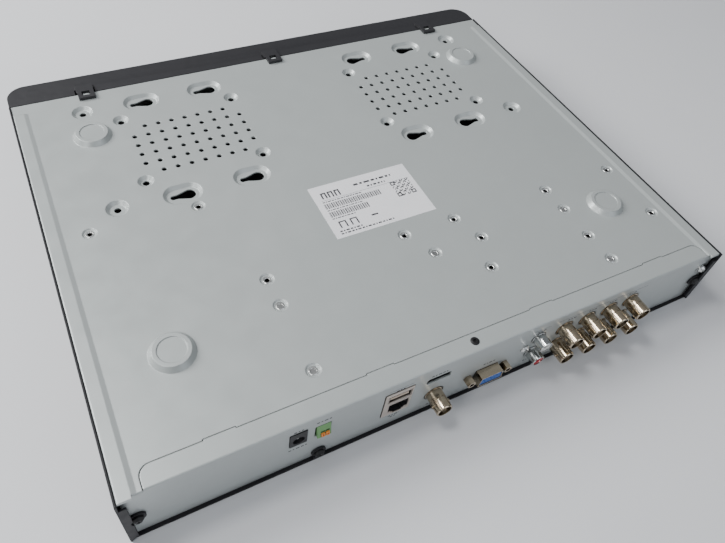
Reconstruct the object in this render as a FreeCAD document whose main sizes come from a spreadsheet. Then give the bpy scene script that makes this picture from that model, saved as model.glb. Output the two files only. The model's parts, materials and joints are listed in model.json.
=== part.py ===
import FreeCAD, Part
import math
import os
import re

import Sketcher
from FreeCAD import Vector

# A security video recorder lying on its top cover with its underside facing up.
# The pieces are drawn in "seam" coordinates: Y counts from the front edge of the
# steel tray towards the connector panel, Z is 0 on the outside of the tray's floor
# and falls towards the top cover.  One placement moves them into the part's frame.

SIZES = (
    # alias, millimetres, what it is
    ("sheet", 1.0, "thickness of the tray, rear panel and cover steel"),
    ("tray_width", 370.0, "outside width of the tray"),
    ("panel_y", 281.5, "front edge of the tray to the outside of the rear panel"),
    ("case_height", 45.7, "outside of the tray floor to the outside of the cover"),
    ("cover_gap", 0.3, "side clearance between the tray and the cover"),
    ("rear_lip", 3.0, "how far the cover's side lips stand behind the rear panel"),
    ("lip_width", 4.4, "visible width of a side lip"),
    ("lip_top", 4.6, "top of a side lip below the tray floor"),
    ("floor_end", 1.9, "how far the cover's flat sheet runs past the rear panel"),
    ("strip_end", 1.7, "how far the tray's side strips run past the rear panel"),
    ("strip_width", 6.6, "width of the raised strip along each side of the tray"),
    ("strip_rise", 0.8, "height of that strip over the tray floor"),
    ("strip_slope", 2.4, "width of the slope between the strip and the floor"),
    ("strip_front", 10.0, "where the strips start behind the tray's front edge"),
    ("side_wall", 12.0, "height of the tray's side walls"),
    ("flange_y", 270.6, "seam between the tray floor and the rear panel's flange"),
    ("flange_left", 173.3, "flange end on the power inlet side"),
    ("flange_right", -176.6, "flange end on the camera socket side"),
    ("flange_corner", 5.5, "corner radius of the flange"),
    ("seam_gap", 0.35, "gap around the flange"),
    ("tab_length", 15.5, "length of a locating tab on the flange"),
    ("tab_step", 0.7, "how far a locating tab stands forward"),
    ("press_shift", -1.0, "sideways offset of everything pressed into the tray"),
    ("foot_x", 143.4, "foot centre to the middle of the pressed pattern"),
    ("foot_front", 44.7, "front feet from the tray's front edge"),
    ("foot_rear", 220.4, "rear feet from the tray's front edge"),
    ("foot_radius", 12.1, "radius of a pressed foot at the floor"),
    ("foot_rise", 3.0, "height of a pressed foot"),
    ("foot_slope", 2.2, "how much the foot's radius shrinks over its height"),
    ("pad_radius", 7.6, "radius of the shallow seat for a stick-on pad"),
    ("pad_depth", 0.4, "depth of that seat"),
    ("press_depth", 2.0, "depth of the large pressed dimples"),
    ("drive_x", 83.5, "middle of a drive place to the middle of the pattern"),
    ("slot_pitch_x", 44.45, "3.5 inch drive screw spacing across"),
    ("slot_pitch_y", 95.25, "3.5 inch drive screw spacing front to back"),
    ("slot_front", 20.0, "first row of drive slots from the front edge"),
    ("slot_big", 3.9, "radius of a slot's wide end"),
    ("slot_small", 1.8, "radius of a slot's narrow end"),
    ("slot_offset", 3.9, "middle of the dimple to the slot's wide end"),
    ("slot_run", 10.0, "distance between the centres of a slot's two ends"),
    ("slot_taper", 6.4, "distance over which a slot narrows"),
    ("slot_dimple", 8.0, "end radius of the dimple around a slot"),
    ("slot_dimple_run", 8.0, "distance between the centres of that dimple's ends"),
    ("small_pitch_x", 76.6, "2.5 inch drive screw spacing across"),
    ("small_pitch_y", 61.72, "2.5 inch drive screw spacing front to back"),
    ("small_front", 35.6, "first row of 2.5 inch drive holes from the front edge"),
    ("small_x", 85.1, "middle of a 2.5 inch drive place to the pattern's middle"),
    ("small_dimple", 5.0, "radius of the dimple around a 2.5 inch drive hole"),
    ("drive_hole", 2.1, "radius of a 2.5 inch drive hole"),
    ("side_x", 144.6, "outer screw dimples to the middle of the pattern"),
    ("side_front", 19.6, "front outer screw dimples from the front edge"),
    ("side_rear", 113.8, "rear outer screw dimples from the front edge"),
    ("side_dimple", 6.7, "radius of an outer screw dimple"),
    ("vent_radius", 1.6, "radius of a vent hole"),
    ("vent_pitch", 8.95, "spacing of the vent holes"),
    ("vent_x", 83.3, "middle of a vent block to the middle of the pattern"),
    ("vent_front", 46.1, "first row of vent holes from the front edge"),
    ("insert_rim", 4.15, "radius of the ring pressed around a threaded insert"),
    ("insert_depth", 0.7, "depth of that ring"),
    ("insert_radius", 2.6, "radius of a threaded insert"),
    ("insert_bore", 1.35, "radius of an insert's thread"),
    ("board_drop", 6.6, "tray floor to the near side of the main board"),
    ("board_thick", 1.6, "thickness of a circuit board"),
    ("bezel_depth", 20.3, "front to back size of the front bezel"),
    ("bezel_back", 0.9, "gap between the bezel and the tray's front edge"),
    ("bezel_width", 372.2, "width of the front bezel"),
    ("bezel_corner", 12.5, "plan radius of the bezel's front corners"),
    ("bezel_wall", 2.4, "wall thickness of the bezel"),
    ("clip_x", 137.2, "outer latches of the bezel to its middle"),
    ("clip_width", 11.6, "width of a latch"),
    ("clip_reach", 6.9, "how far a latch runs over the tray"),
    ("clip_rise", 2.2, "height of a latch above the tray floor"),
    ("bnc_pitch", 17.33, "spacing of the camera sockets across"),
    ("bnc_first", -68.3, "camera socket nearest the middle"),
    ("bnc_upper", -16.45, "camera socket row next to the tray floor"),
    ("bnc_lower", -33.0, "camera socket row next to the cover"),
    ("bnc_radius", 4.9, "radius of a BNC socket's barrel"),
    ("bnc_bore", 4.05, "radius of a BNC socket's bore"),
    ("bnc_length", 12.0, "how far a BNC socket stands out of the panel"),
    ("bnc_hole", 6.2, "radius of the panel hole around a BNC socket"),
    ("video_x", 18.7, "single BNC video output across"),
    ("video_z", -29.8, "single BNC video output height"),
    ("rca_x", -48.7, "audio sockets across"),
    ("rca_upper", -14.8, "audio socket next to the tray floor"),
    ("rca_lower", -29.6, "audio socket next to the cover"),
    ("rca_radius", 4.15, "radius of an audio socket's barrel"),
    ("rca_length", 7.6, "how far an audio socket stands out of the panel"),
    ("vga_x", -16.0, "display socket across"),
    ("vga_z", -29.2, "display socket height"),
    ("vga_pitch", 24.99, "spacing of the display socket's hex posts"),
    ("hdmi_x", 18.9, "HDMI socket across"),
    ("hdmi_z", -13.0, "HDMI socket height"),
    ("module_x", 43.3, "middle of the USB and network block across"),
    ("module_width", 17.0, "width of that block"),
    ("module_low", -8.6, "side of that block next to the board"),
    ("module_high", -32.4, "side of that block next to the cover"),
    ("usb_x", 42.7, "rear USB socket across"),
    ("usb_z", -14.5, "rear USB socket height"),
    ("usb_width", 13.0, "width of a USB socket's opening"),
    ("usb_height", 5.6, "height of a USB socket's opening"),
    ("lan_x", 42.3, "network socket across"),
    ("jack_x", 100.1, "power inlet across"),
    ("jack_width", 9.2, "width of the power inlet"),
    ("jack_high", -21.0, "side of the power inlet next to the cover"),
    ("jack_hole_z", -15.9, "middle of the power inlet's hole"),
    ("jack_hole", 3.2, "radius of the power inlet's hole"),
    ("terminal_x", 86.6, "middle of the alarm terminal across"),
    ("terminal_width", 7.6, "width of the alarm terminal"),
    ("terminal_out", 1.9, "how far the alarm terminal stands out at its low edge"),
    ("terminal_shift", -0.5, "middle of the terminal's two ways to the block's middle"),
    ("terminal_pitch", 2.54, "spacing of the alarm terminal's two ways"),
    ("button_travel", 1.0, "how far a release button is pressed in"),
    ("button_grip", 3.0, "how far a release button reaches in behind the panel face"),
    ("cut_gap", 0.4, "gap between a connector and its panel cut-out"),
)
VALUES = {alias: value for alias, value, note in SIZES}

doc = FreeCAD.newDocument("recorder")
sheet = doc.addObject("Spreadsheet::Sheet", "Sizes")
for row, (alias, value, note) in enumerate(SIZES, 1):
    sheet.set(f"A{row}", note)
    sheet.set(f"B{row}", str(value))
    sheet.setAlias(f"B{row}", alias)
doc.recompute()

# where the seam coordinates sit in the part's frame
SHIFT_Y = "((bezel_depth + bezel_back) - (panel_y + bnc_length)) / 2"
SHIFT_Z = "case_height"


def bind(expression):
    """The expression with every size name pointing at its cell."""
    return re.sub(r"[a-z][a-z0-9_]*", lambda m: f"Sizes.{m[0]}" if m[0] in VALUES else m[0], str(expression))


def number(expression):
    """What an expression works out to now."""
    return float(sheet.evalExpression(bind(expression)))


def minus(expression):
    return f"-({expression})"


def place(thing, across="0", along="0", height="0"):
    """Put a sub-part at a point given in seam coordinates."""
    thing.setExpression("Placement.Base.x", bind(across))
    thing.setExpression("Placement.Base.y", bind(f"({along}) + {SHIFT_Y}"))
    thing.setExpression("Placement.Base.z", bind(f"({height}) + {SHIFT_Z}"))


# ---------------------------------------------------------------- sketches

def new_body(label, across="0", along="0", height="0"):
    body = doc.addObject("PartDesign::Body", label)
    body.Label = label
    place(body, across, along, height)
    return body


def sketch(body, plane, offset="0"):
    """A sketch on one of the body's own planes: XY, XZ (faces -Y) or YZ."""
    thing = body.newObject("Sketcher::SketchObject", f"{body.Label}_sketch")
    origin = [f for f in body.Origin.OriginFeatures if f.Role == f"{plane}_Plane"][0]
    thing.AttachmentSupport = [(origin, "")]
    thing.MapMode = "FlatFace"
    thing.setExpression("AttachmentOffset.Base.z", bind(offset))
    return thing


def tie(drawing, curve, point, across, along):
    """Hold a point of a curve at two distances from the sketch's origin."""
    for kind, axis, distance in (("DistanceX", -2, across), ("DistanceY", -1, along)):
        if abs(number(distance)) < 1e-9:
            drawing.addConstraint(Sketcher.Constraint("PointOnObject", curve, point, axis))
            continue
        rule = Sketcher.Constraint(kind, -1, 1, curve, point, number(distance))
        index = drawing.addConstraint(rule)
        drawing.setExpression(f"Constraints[{index}]", bind(distance))


def outline(drawing, corners):
    """A closed outline of straight sides."""
    points = [Vector(number(a), number(b), 0) for a, b in corners]
    count = len(points)
    first = drawing.GeometryCount
    sides = [Part.LineSegment(points[i], points[(i + 1) % count]) for i in range(count)]
    drawing.addGeometry(sides, False)
    for i in range(count):
        rule = Sketcher.Constraint("Coincident", first + i, 2, first + (i + 1) % count, 1)
        drawing.addConstraint(rule)
    for i, (across, along) in enumerate(corners):
        tie(drawing, first + i, 1, across, along)


def rectangle(drawing, left, right, low, high):
    outline(drawing, [(left, low), (right, low), (right, high), (left, high)])


def circle(drawing, across, along, radius):
    centre = Vector(number(across), number(along), 0)
    curve = drawing.addGeometry(Part.Circle(centre, Vector(0, 0, 1), number(radius)), False)
    tie(drawing, curve, 3, across, along)
    index = drawing.addConstraint(Sketcher.Constraint("Radius", curve, number(radius)))
    drawing.setExpression(f"Constraints[{index}]", bind(radius))


def capsule(drawing, first, second, along, first_radius, second_radius):
    """Two round ends on a line across the sketch, joined by straight tangents."""
    a, b, level = number(first), number(second), number(along)
    big, small = number(first_radius), number(second_radius)
    lean = math.acos((big - small) / abs(b - a))
    facing = 0 if b > a else math.pi
    up = Vector(0, 0, 1)
    big_circle = Part.Circle(Vector(a, level, 0), up, big)
    small_circle = Part.Circle(Vector(b, level, 0), up, small)
    far = Part.ArcOfCircle(big_circle, facing + lean, facing + 2 * math.pi - lean)
    near = Part.ArcOfCircle(small_circle, facing - lean, facing + lean)
    start = drawing.GeometryCount
    one = Part.LineSegment(far.EndPoint, near.StartPoint)
    two = Part.LineSegment(near.EndPoint, far.StartPoint)
    drawing.addGeometry([far, one, near, two], False)
    for i in range(4):
        rule = Sketcher.Constraint("Tangent", start + i, 2, start + (i + 1) % 4, 1)
        drawing.addConstraint(rule)
    for curve, across, radius in ((0, first, first_radius), (2, second, second_radius)):
        tie(drawing, start + curve, 3, across, along)
        index = drawing.addConstraint(Sketcher.Constraint("Radius", start + curve, number(radius)))
        drawing.setExpression(f"Constraints[{index}]", bind(radius))


# ---------------------------------------------------------------- features

def pad(body, drawing, length, reverse=False, slope=0):
    """Raise a sketch; slope is the angle by which the sides lean inwards."""
    feature = body.newObject("PartDesign::Pad", f"{body.Label}_pad")
    feature.Profile = drawing
    feature.setExpression("Length", bind(length))
    feature.Reversed = reverse
    feature.TaperAngle = -slope
    doc.recompute()
    return feature


def pocket(body, drawing, length, reverse=False, slope=0):
    """Cut a sketch; the cut has to take material away."""
    doc.recompute()
    before = body.Shape.Volume
    feature = body.newObject("PartDesign::Pocket", f"{body.Label}_pocket")
    feature.Profile = drawing
    feature.setExpression("Length", bind(length))
    feature.Reversed = reverse
    feature.TaperAngle = -slope
    doc.recompute()
    if body.Shape.Volume >= before - 1e-6:
        raise RuntimeError(f"{body.Label}: a pocket cut nothing")
    return feature


def cut_through(body, drawing):
    """Cut a sketch right through, both ways."""
    doc.recompute()
    before = body.Shape.Volume
    feature = body.newObject("PartDesign::Pocket", f"{body.Label}_cut")
    feature.Profile = drawing
    feature.Type = "ThroughAll"
    feature.SideType = "Symmetric"
    doc.recompute()
    if body.Shape.Volume >= before - 1e-6:
        raise RuntimeError(f"{body.Label}: a cut removed nothing")
    return feature


def revolve(body, drawing, axis="V_Axis"):
    feature = body.newObject("PartDesign::Revolution", f"{body.Label}_turned")
    feature.Profile = drawing
    feature.ReferenceAxis = (drawing, [axis])
    feature.Angle = 360
    doc.recompute()
    return feature


def round_edges(body, radius, wanted):
    """Fillet the edges whose middle point passes the wanted test (body's own coordinates)."""
    doc.recompute()
    base = body.Tip
    names = []
    for i, edge in enumerate(base.Shape.Edges, 1):
        middle = edge.valueAt((edge.FirstParameter + edge.LastParameter) / 2)
        along = edge.tangentAt(edge.FirstParameter)
        if wanted(middle, along):
            names.append(f"Edge{i}")
    feature = body.newObject("PartDesign::Fillet", f"{body.Label}_rounding")
    feature.Base = (base, names)
    feature.setExpression("Radius", bind(radius))
    doc.recompute()
    return feature


def upright(along):
    return abs(along.z) > 0.99


def near(value, expression, slack=0.2):
    return abs(value - number(expression)) < slack


def block(label, left, right, front, back, low, high):
    """A plain rectangular piece between six planes."""
    thing = doc.addObject("Part::Box", label)
    thing.Label = label
    thing.setExpression("Length", bind(f"({right}) - ({left})"))
    thing.setExpression("Width", bind(f"({back}) - ({front})"))
    thing.setExpression("Height", bind(f"({high}) - ({low})"))
    place(thing, left, front, low)
    return thing


def group(label, pieces):
    """Separate solids of one kind that share a node."""
    thing = doc.addObject("Part::Compound", label)
    thing.Label = label
    thing.Links = pieces
    return thing


def copies(pattern, places):
    """Linked copies of a body at (across, along, height) points."""
    links = []
    for across, along, height in places:
        link = doc.addObject("App::Link", f"{pattern.Label}_copy")
        link.LinkedObject = pattern
        link.LinkTransform = False
        place(link, across, along, height)
        links.append(link)
    return links


# ---------------------------------------------------------------- the steel case

SIDES = (-1, 1)
CLIPS = (-1, 0, 1)
TAB_CENTRES = (135.3, 50.4, -53.3, -139.7)
OPEN_INSERTS = ((162.3, 127.8), (99.5, 128.9), (82.2, 195.6), (-6.2, 195.3), (-42.2, 195.0),
                (-114.4, 195.5), (-169.0, 194.9), (-50.1, 214.2), (-42.4, 236.2),
                (-115.2, 238.5), (-169.7, 238.4))
BLIND_INSERTS = ((82.0, 214.4), (82.0, 257.2), (-16.6, 214.3), (-115.0, 214.2), (-116.2, 259.0))
FLANGE_SCREW = (-4.2, 275.4)
LIP_SCREWS = ((179.6, -24.5), (-179.6, -24.5), (88.0, -39.6))
GROUND_SCREW = (-178.6, -12.4)
AUDIO_SCREW = (-41.2, -22.2)
SCREW_CORE = 1.25
STRIP_INNER = "(tray_width/2 - strip_width)"


def drive_places():
    """Side sign and centre of every 3.5 inch drive slot, with its distance from the front."""
    for side in SIDES:
        for step in (-0.5, 0.5):
            middle = f"(press_shift + {side}*drive_x + ({step})*slot_pitch_x)"
            for along in ("slot_front", "slot_front + slot_pitch_y"):
                yield side, middle, along


def small_drive_places():
    for side in SIDES:
        for step in (-0.5, 0.5):
            middle = f"press_shift + {side}*small_x + ({step})*small_pitch_x"
            for along in ("small_front", "small_front + small_pitch_y"):
                yield middle, along


def side_places():
    for side in SIDES:
        for along in ("side_front", "side_rear"):
            yield f"press_shift + {side}*side_x", along


def feet_places():
    for side in SIDES:
        for along in ("foot_front", "foot_rear"):
            yield f"press_shift + {side}*foot_x", along


def draw_dimples(drawing):
    for across, along in side_places():
        circle(drawing, across, along, "side_dimple")
    for across, along in small_drive_places():
        circle(drawing, across, along, "small_dimple")
    for side, middle, along in drive_places():
        ends = (f"{middle} - slot_dimple_run/2", f"{middle} + slot_dimple_run/2")
        capsule(drawing, *ends, along, "slot_dimple", "slot_dimple")


def draw_inserts(drawing, radius):
    for across, along in OPEN_INSERTS + BLIND_INSERTS:
        circle(drawing, across, along, radius)


def vent_holes(body, columns, rows, first_row):
    """A block of vent holes on each side, from one hole."""
    drawing = sketch(body, "XY")
    across = f"press_shift - vent_x - {(columns - 1) / 2}*vent_pitch"
    circle(drawing, across, first_row, "vent_radius")
    hole = pocket(body, drawing, "sheet")
    block_of_holes = body.newObject("PartDesign::MultiTransform", "vents")
    block_of_holes.Originals = [hole]
    steps = []
    runs = (("H_Axis", f"{columns - 1}*vent_pitch", columns), rows, ("H_Axis", "2*vent_x", 2))
    for axis, length, count in runs:
        step = body.newObject("PartDesign::LinearPattern", "vent_step")
        step.Direction = (drawing, [axis])
        step.Occurrences = count
        step.setExpression("Length", bind(length))
        steps.append(step)
    block_of_holes.Transformations = steps
    body.Tip = block_of_holes
    doc.recompute()


def base_plate():
    body = new_body("base_plate")
    drawing = sketch(body, "XY")
    rectangle(drawing, "-tray_width/2", "tray_width/2", "0", "panel_y + strip_end")
    pad(body, drawing, "sheet", reverse=True)

    for side in SIDES:
        strip = sketch(body, "XZ", "-strip_front")
        edge, inner = f"{side}*tray_width/2", f"{side}*{STRIP_INNER}"
        foot = f"{side}*({STRIP_INNER} - strip_slope)"
        outline(strip, [(edge, "-sheet/2"), (edge, "strip_rise"), (inner, "strip_rise"), (foot, "0"),
                        (foot, "-sheet/2")])
        pad(body, strip, "panel_y - strip_front", reverse=True)
        tail = sketch(body, "XZ", "-(panel_y - 1)")
        outline(tail, [(edge, "-sheet/2"), (edge, "strip_rise"), (inner, "strip_rise"),
                       (inner, "-sheet/2")])
        pad(body, tail, "strip_end + 1", reverse=True)

    notch = sketch(body, "XY")
    back = "panel_y + strip_end + 1"
    front = "flange_y - seam_gap"
    left, right = "flange_left + seam_gap", "flange_right - seam_gap"
    corners = [(STRIP_INNER, back), (STRIP_INNER, "panel_y"), (left, "panel_y"), (left, front)]
    for centre in TAB_CENTRES:
        start, end = f"{centre} + tab_length/2 + seam_gap", f"{centre} - tab_length/2 - seam_gap"
        step = f"{front} - tab_step"
        corners += [(start, front), (start, step), (end, step), (end, front)]
    corners += [(right, front), (right, "panel_y"), (minus(STRIP_INNER), "panel_y")]
    corners += [(minus(STRIP_INNER), back)]
    outline(notch, corners)
    cut_through(body, notch)

    def notch_corner(middle, along):
        at_end = near(middle.x, left) or near(middle.x, right)
        return upright(along) and at_end and near(middle.y, front)
    round_edges(body, "flange_corner", notch_corner)

    def outer_edge(middle, along):
        on_edge = near(abs(middle.x), "tray_width/2") and near(middle.z, "strip_rise")
        return abs(along.y) > 0.99 and on_edge
    round_edges(body, "0.7*sheet", outer_edge)

    walls = sketch(body, "XY", "-sheet")
    for side in SIDES:
        rectangle(walls, f"{side}*tray_width/2", f"{side}*(tray_width/2 - sheet)", "2", "panel_y - 3")
    pad(body, walls, "side_wall", reverse=True)
    front_wall = sketch(body, "XY", "-sheet")
    rectangle(front_wall, "-tray_width/2 + 3", "tray_width/2 - 3", "0", "sheet")
    pad(body, front_wall, "case_height - 3*sheet", reverse=True)
    window = sketch(body, "XZ")
    rectangle(window, "80", "110", "-30", "-18")
    pocket(body, window, "2*sheet")

    formed = sketch(body, "XY", "-sheet")
    draw_dimples(formed)
    pad(body, formed, "press_depth", reverse=True, slope=45)
    sunk = sketch(body, "XY")
    draw_dimples(sunk)
    pocket(body, sunk, "press_depth", slope=45)

    rings = sketch(body, "XY", "-sheet")
    draw_inserts(rings, "insert_rim")
    pad(body, rings, "insert_depth", reverse=True, slope=45)
    ring_seats = sketch(body, "XY")
    draw_inserts(ring_seats, "insert_rim")
    pocket(body, ring_seats, "insert_depth", slope=45)

    lean = math.degrees(math.atan(number("foot_slope / foot_rise")))
    feet, hollows, seats = sketch(body, "XY"), sketch(body, "XY", "-sheet"), sketch(body, "XY", "foot_rise")
    for across, along in feet_places():
        circle(feet, across, along, "foot_radius")
        circle(hollows, across, along, "foot_radius - sheet/2")
        circle(seats, across, along, "pad_radius")
    pad(body, feet, "foot_rise", slope=lean)
    pocket(body, hollows, "foot_rise", reverse=True, slope=lean)
    pocket(body, seats, "pad_depth")

    for side in CLIPS:
        nib = sketch(body, "XY")
        middle = f"{side}*clip_x"
        rectangle(nib, f"{middle} - 1.9", f"{middle} + 1.9", "1.6", "3.8")
        pad(body, nib, "1.3")

    ledge = sketch(body, "XY", "-sheet")
    across, along = FLANGE_SCREW
    rectangle(ledge, f"{across - 12}", f"{across + 12}", "flange_y - 9", f"{along} + 4")
    pad(body, ledge, "sheet", reverse=True)

    holes = sketch(body, "XY", "-sheet")
    for place_list in (side_places(), small_drive_places()):
        for across, along in place_list:
            circle(holes, across, along, "drive_hole")
    draw_inserts(holes, "insert_radius")
    circle(holes, f"{FLANGE_SCREW[0]}", f"{FLANGE_SCREW[1]}", f"{SCREW_CORE}")
    cut_through(body, holes)

    mouths, necks = sketch(body, "XY", "-sheet"), sketch(body, "XY", "-sheet")
    for side, middle, along in drive_places():
        wide_end = f"{middle} - {side}*slot_offset"
        capsule(mouths, wide_end, f"{wide_end} + {side}*slot_taper", along, "slot_big", "slot_small + 0.2")
        capsule(necks, wide_end, f"{wide_end} + {side}*slot_run", along, "slot_small", "slot_small")
    cut_through(body, mouths)
    cut_through(body, necks)

    vent_holes(body, 9, ("V_Axis", "3*vent_pitch", 4), "vent_front + vent_pitch")
    vent_holes(body, 7, ("V_Axis", "5*vent_pitch", 2), "vent_front")
    return body


def draw_display_cut(drawing, grow):
    """The D-shaped outline of the display socket, its wide side next to the cover."""
    wide, narrow, tall = 8.25 + grow, 7.15 + grow, 4.05 + grow
    low, high = f"vga_z - {tall}", f"vga_z + {tall}"
    outline(drawing, [(f"vga_x - {wide}", low), (f"vga_x + {wide}", low),
                      (f"vga_x + {narrow}", high), (f"vga_x - {narrow}", high)])


def draw_hdmi_outline(drawing, half, tall, bevel):
    low, high = f"hdmi_z - {tall}", f"hdmi_z + {tall}"
    shoulder = f"hdmi_z + {tall - bevel}"
    outline(drawing, [(f"hdmi_x - {half}", low), (f"hdmi_x + {half}", low),
                      (f"hdmi_x + {half}", shoulder), (f"hdmi_x + {half - bevel}", high),
                      (f"hdmi_x - {half - bevel}", high), (f"hdmi_x - {half}", shoulder)])


def camera_sockets():
    """Across and height of the eight camera sockets."""
    for row in ("bnc_upper", "bnc_lower"):
        for step in range(4):
            yield f"bnc_first - {step}*bnc_pitch", row


def rear_panel():
    body = new_body("rear_panel", "0", "panel_y", "0")
    face = sketch(body, "XZ")
    drop = "-(case_height - sheet - 0.3)"
    outline(face, [("-tray_width/2 + 0.6", "-sheet - 0.3"), ("-tray_width/2 + 0.6", drop),
                   ("tray_width/2 - 0.6", drop), ("tray_width/2 - 0.6", "-sheet - 0.3"),
                   ("flange_left", "-sheet - 0.3"), ("flange_left", "0"), ("flange_right", "0"),
                   ("flange_right", "-sheet - 0.3")])
    pad(body, face, "sheet")
    flange = sketch(body, "XY")
    front = "flange_y - panel_y"
    corners = [("flange_left", "-sheet/2"), ("flange_left", front)]
    for centre in TAB_CENTRES:
        start, end = f"{centre} + tab_length/2", f"{centre} - tab_length/2"
        corners += [(start, front), (start, f"{front} - tab_step"), (end, f"{front} - tab_step"),
                    (end, front)]
    corners += [("flange_right", front), ("flange_right", "-sheet/2")]
    outline(flange, corners)
    pad(body, flange, "sheet", reverse=True)

    def flange_end(middle, along):
        at_end = near(middle.x, "flange_left") or near(middle.x, "flange_right")
        return upright(along) and at_end and near(middle.y, front)
    round_edges(body, "flange_corner", flange_end)

    def outer_bend(middle, along):
        return abs(along.x) > 0.99 and near(middle.y, "0") and near(middle.z, "0") and abs(middle.x) < 100
    round_edges(body, "0.9*sheet", outer_bend)

    screw = sketch(body, "XY")
    circle(screw, f"{FLANGE_SCREW[0]}", f"{FLANGE_SCREW[1]} - panel_y", "1.7")
    pocket(body, screw, "sheet")

    cuts = sketch(body, "XZ")
    for across, height in camera_sockets():
        circle(cuts, across, height, "bnc_hole")
    circle(cuts, "video_x", "video_z", "bnc_hole")
    for height in ("rca_upper", "rca_lower"):
        circle(cuts, "rca_x", height, "rca_radius + 0.9")
    for across, height in LIP_SCREWS + (GROUND_SCREW, AUDIO_SCREW):
        circle(cuts, f"{across}", f"{height}", f"{SCREW_CORE}")
    for side in SIDES:
        circle(cuts, f"vga_x + {side}*vga_pitch/2", "vga_z", "1.6")
    rectangle(cuts, "jack_x - jack_width/2 - cut_gap/2", "jack_x + jack_width/2 + cut_gap/2",
              "jack_high - cut_gap/2", "-board_drop - board_thick - cut_gap/2 + 0.2")
    rectangle(cuts, "terminal_x - terminal_width/2 - cut_gap", "terminal_x + terminal_width/2 + 2*cut_gap",
              f"{TERMINAL_LOW - 0.3}", f"{TERMINAL_HIGH + 0.3}")
    rectangle(cuts, "module_x - module_width/2 - cut_gap", "module_x + module_width/2 + cut_gap",
              "module_high - cut_gap", "module_low + cut_gap")
    draw_hdmi_outline(cuts, 7.6, 2.6, 1.2)
    draw_display_cut(cuts, 0.4)
    cut_through(body, cuts)
    return body


def top_cover():
    body = new_body("top_cover")
    inner = "(tray_width/2 + cover_gap)"
    outer = "(tray_width/2 + cover_gap + sheet)"
    rim = "strip_rise - 0.1"
    shell = sketch(body, "XZ", "-0.3")
    outline(shell, [(minus(outer), rim), (minus(outer), "-case_height"), (outer, "-case_height"),
                    (outer, rim), (inner, rim), (inner, "-case_height + sheet"),
                    (minus(inner), "-case_height + sheet"), (minus(inner), rim)])
    pad(body, shell, "panel_y + rear_lip - 0.3", reverse=True)

    def outer_bend(middle, along):
        return abs(along.y) > 0.99 and near(abs(middle.x), outer) and near(middle.z, "-case_height")
    round_edges(body, "sheet", outer_bend)

    lip = sketch(body, "XZ", "-(panel_y + rear_lip - sheet)")
    lip_inner = f"({outer} - lip_width)"
    for side in SIDES:
        edge, inside = f"{side}*{outer}", f"{side}*{lip_inner}"
        outline(lip, [(edge, "-lip_top"), (edge, "-case_height + sheet"),
                      (inside, "-case_height + lip_width"), (inside, "-lip_top")])
    pad(body, lip, "sheet", reverse=True)
    trim = sketch(body, "XY", "-case_height")
    rectangle(trim, minus(inner), inner, "panel_y + floor_end", "panel_y + rear_lip + 1")
    pocket(body, trim, "sheet", reverse=True)

    reliefs = sketch(body, "XZ", "-(panel_y + 1.3)")
    for across, height in LIP_SCREWS:
        circle(reliefs, f"{across}", f"{height}", "3.3")
    pocket(body, reliefs, "rear_lip")

    ear = sketch(body, "XZ", "-(panel_y + 0.1)")
    for across, height in LIP_SCREWS:
        circle(ear, f"{across}", f"{height}", "4.1")
    pad(body, ear, "1.1", reverse=True)
    web = sketch(body, "XZ", "-(panel_y + 0.6)")
    for across, height in LIP_SCREWS[:2]:
        side = 1 if across > 0 else -1
        rectangle(web, f"{across + side * 3.4}", f"{side}*{outer}", f"{height - 3}", f"{height + 3}")
    rectangle(web, f"{LIP_SCREWS[2][0] - 3}", f"{LIP_SCREWS[2][0] + 3}", "-case_height + sheet/2", "-43.0")
    pad(body, web, "floor_end - 0.6", reverse=True)
    holes = sketch(body, "XZ", "-panel_y")
    for across, height in LIP_SCREWS:
        circle(holes, f"{across}", f"{height}", "1.7")
    pocket(body, holes, "rear_lip")

    louvres = sketch(body, "YZ")
    for count in range(9):
        start = f"{70 + 16 * count}"
        rectangle(louvres, start, f"{start} + 11", "-26", "-23")
        rectangle(louvres, start, f"{start} + 11", "-33", "-30")
    cut_through(body, louvres)
    return body


# ---------------------------------------------------------------- the plastic front

BEZEL_TOP = -0.2
BEZEL_LOW = "-case_height + 0.3"
LIGHTS = (118.0, 128.0, 138.0)
LIGHT_Z = -22.5
FRONT_USB = (70.0, -22.5)


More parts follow.
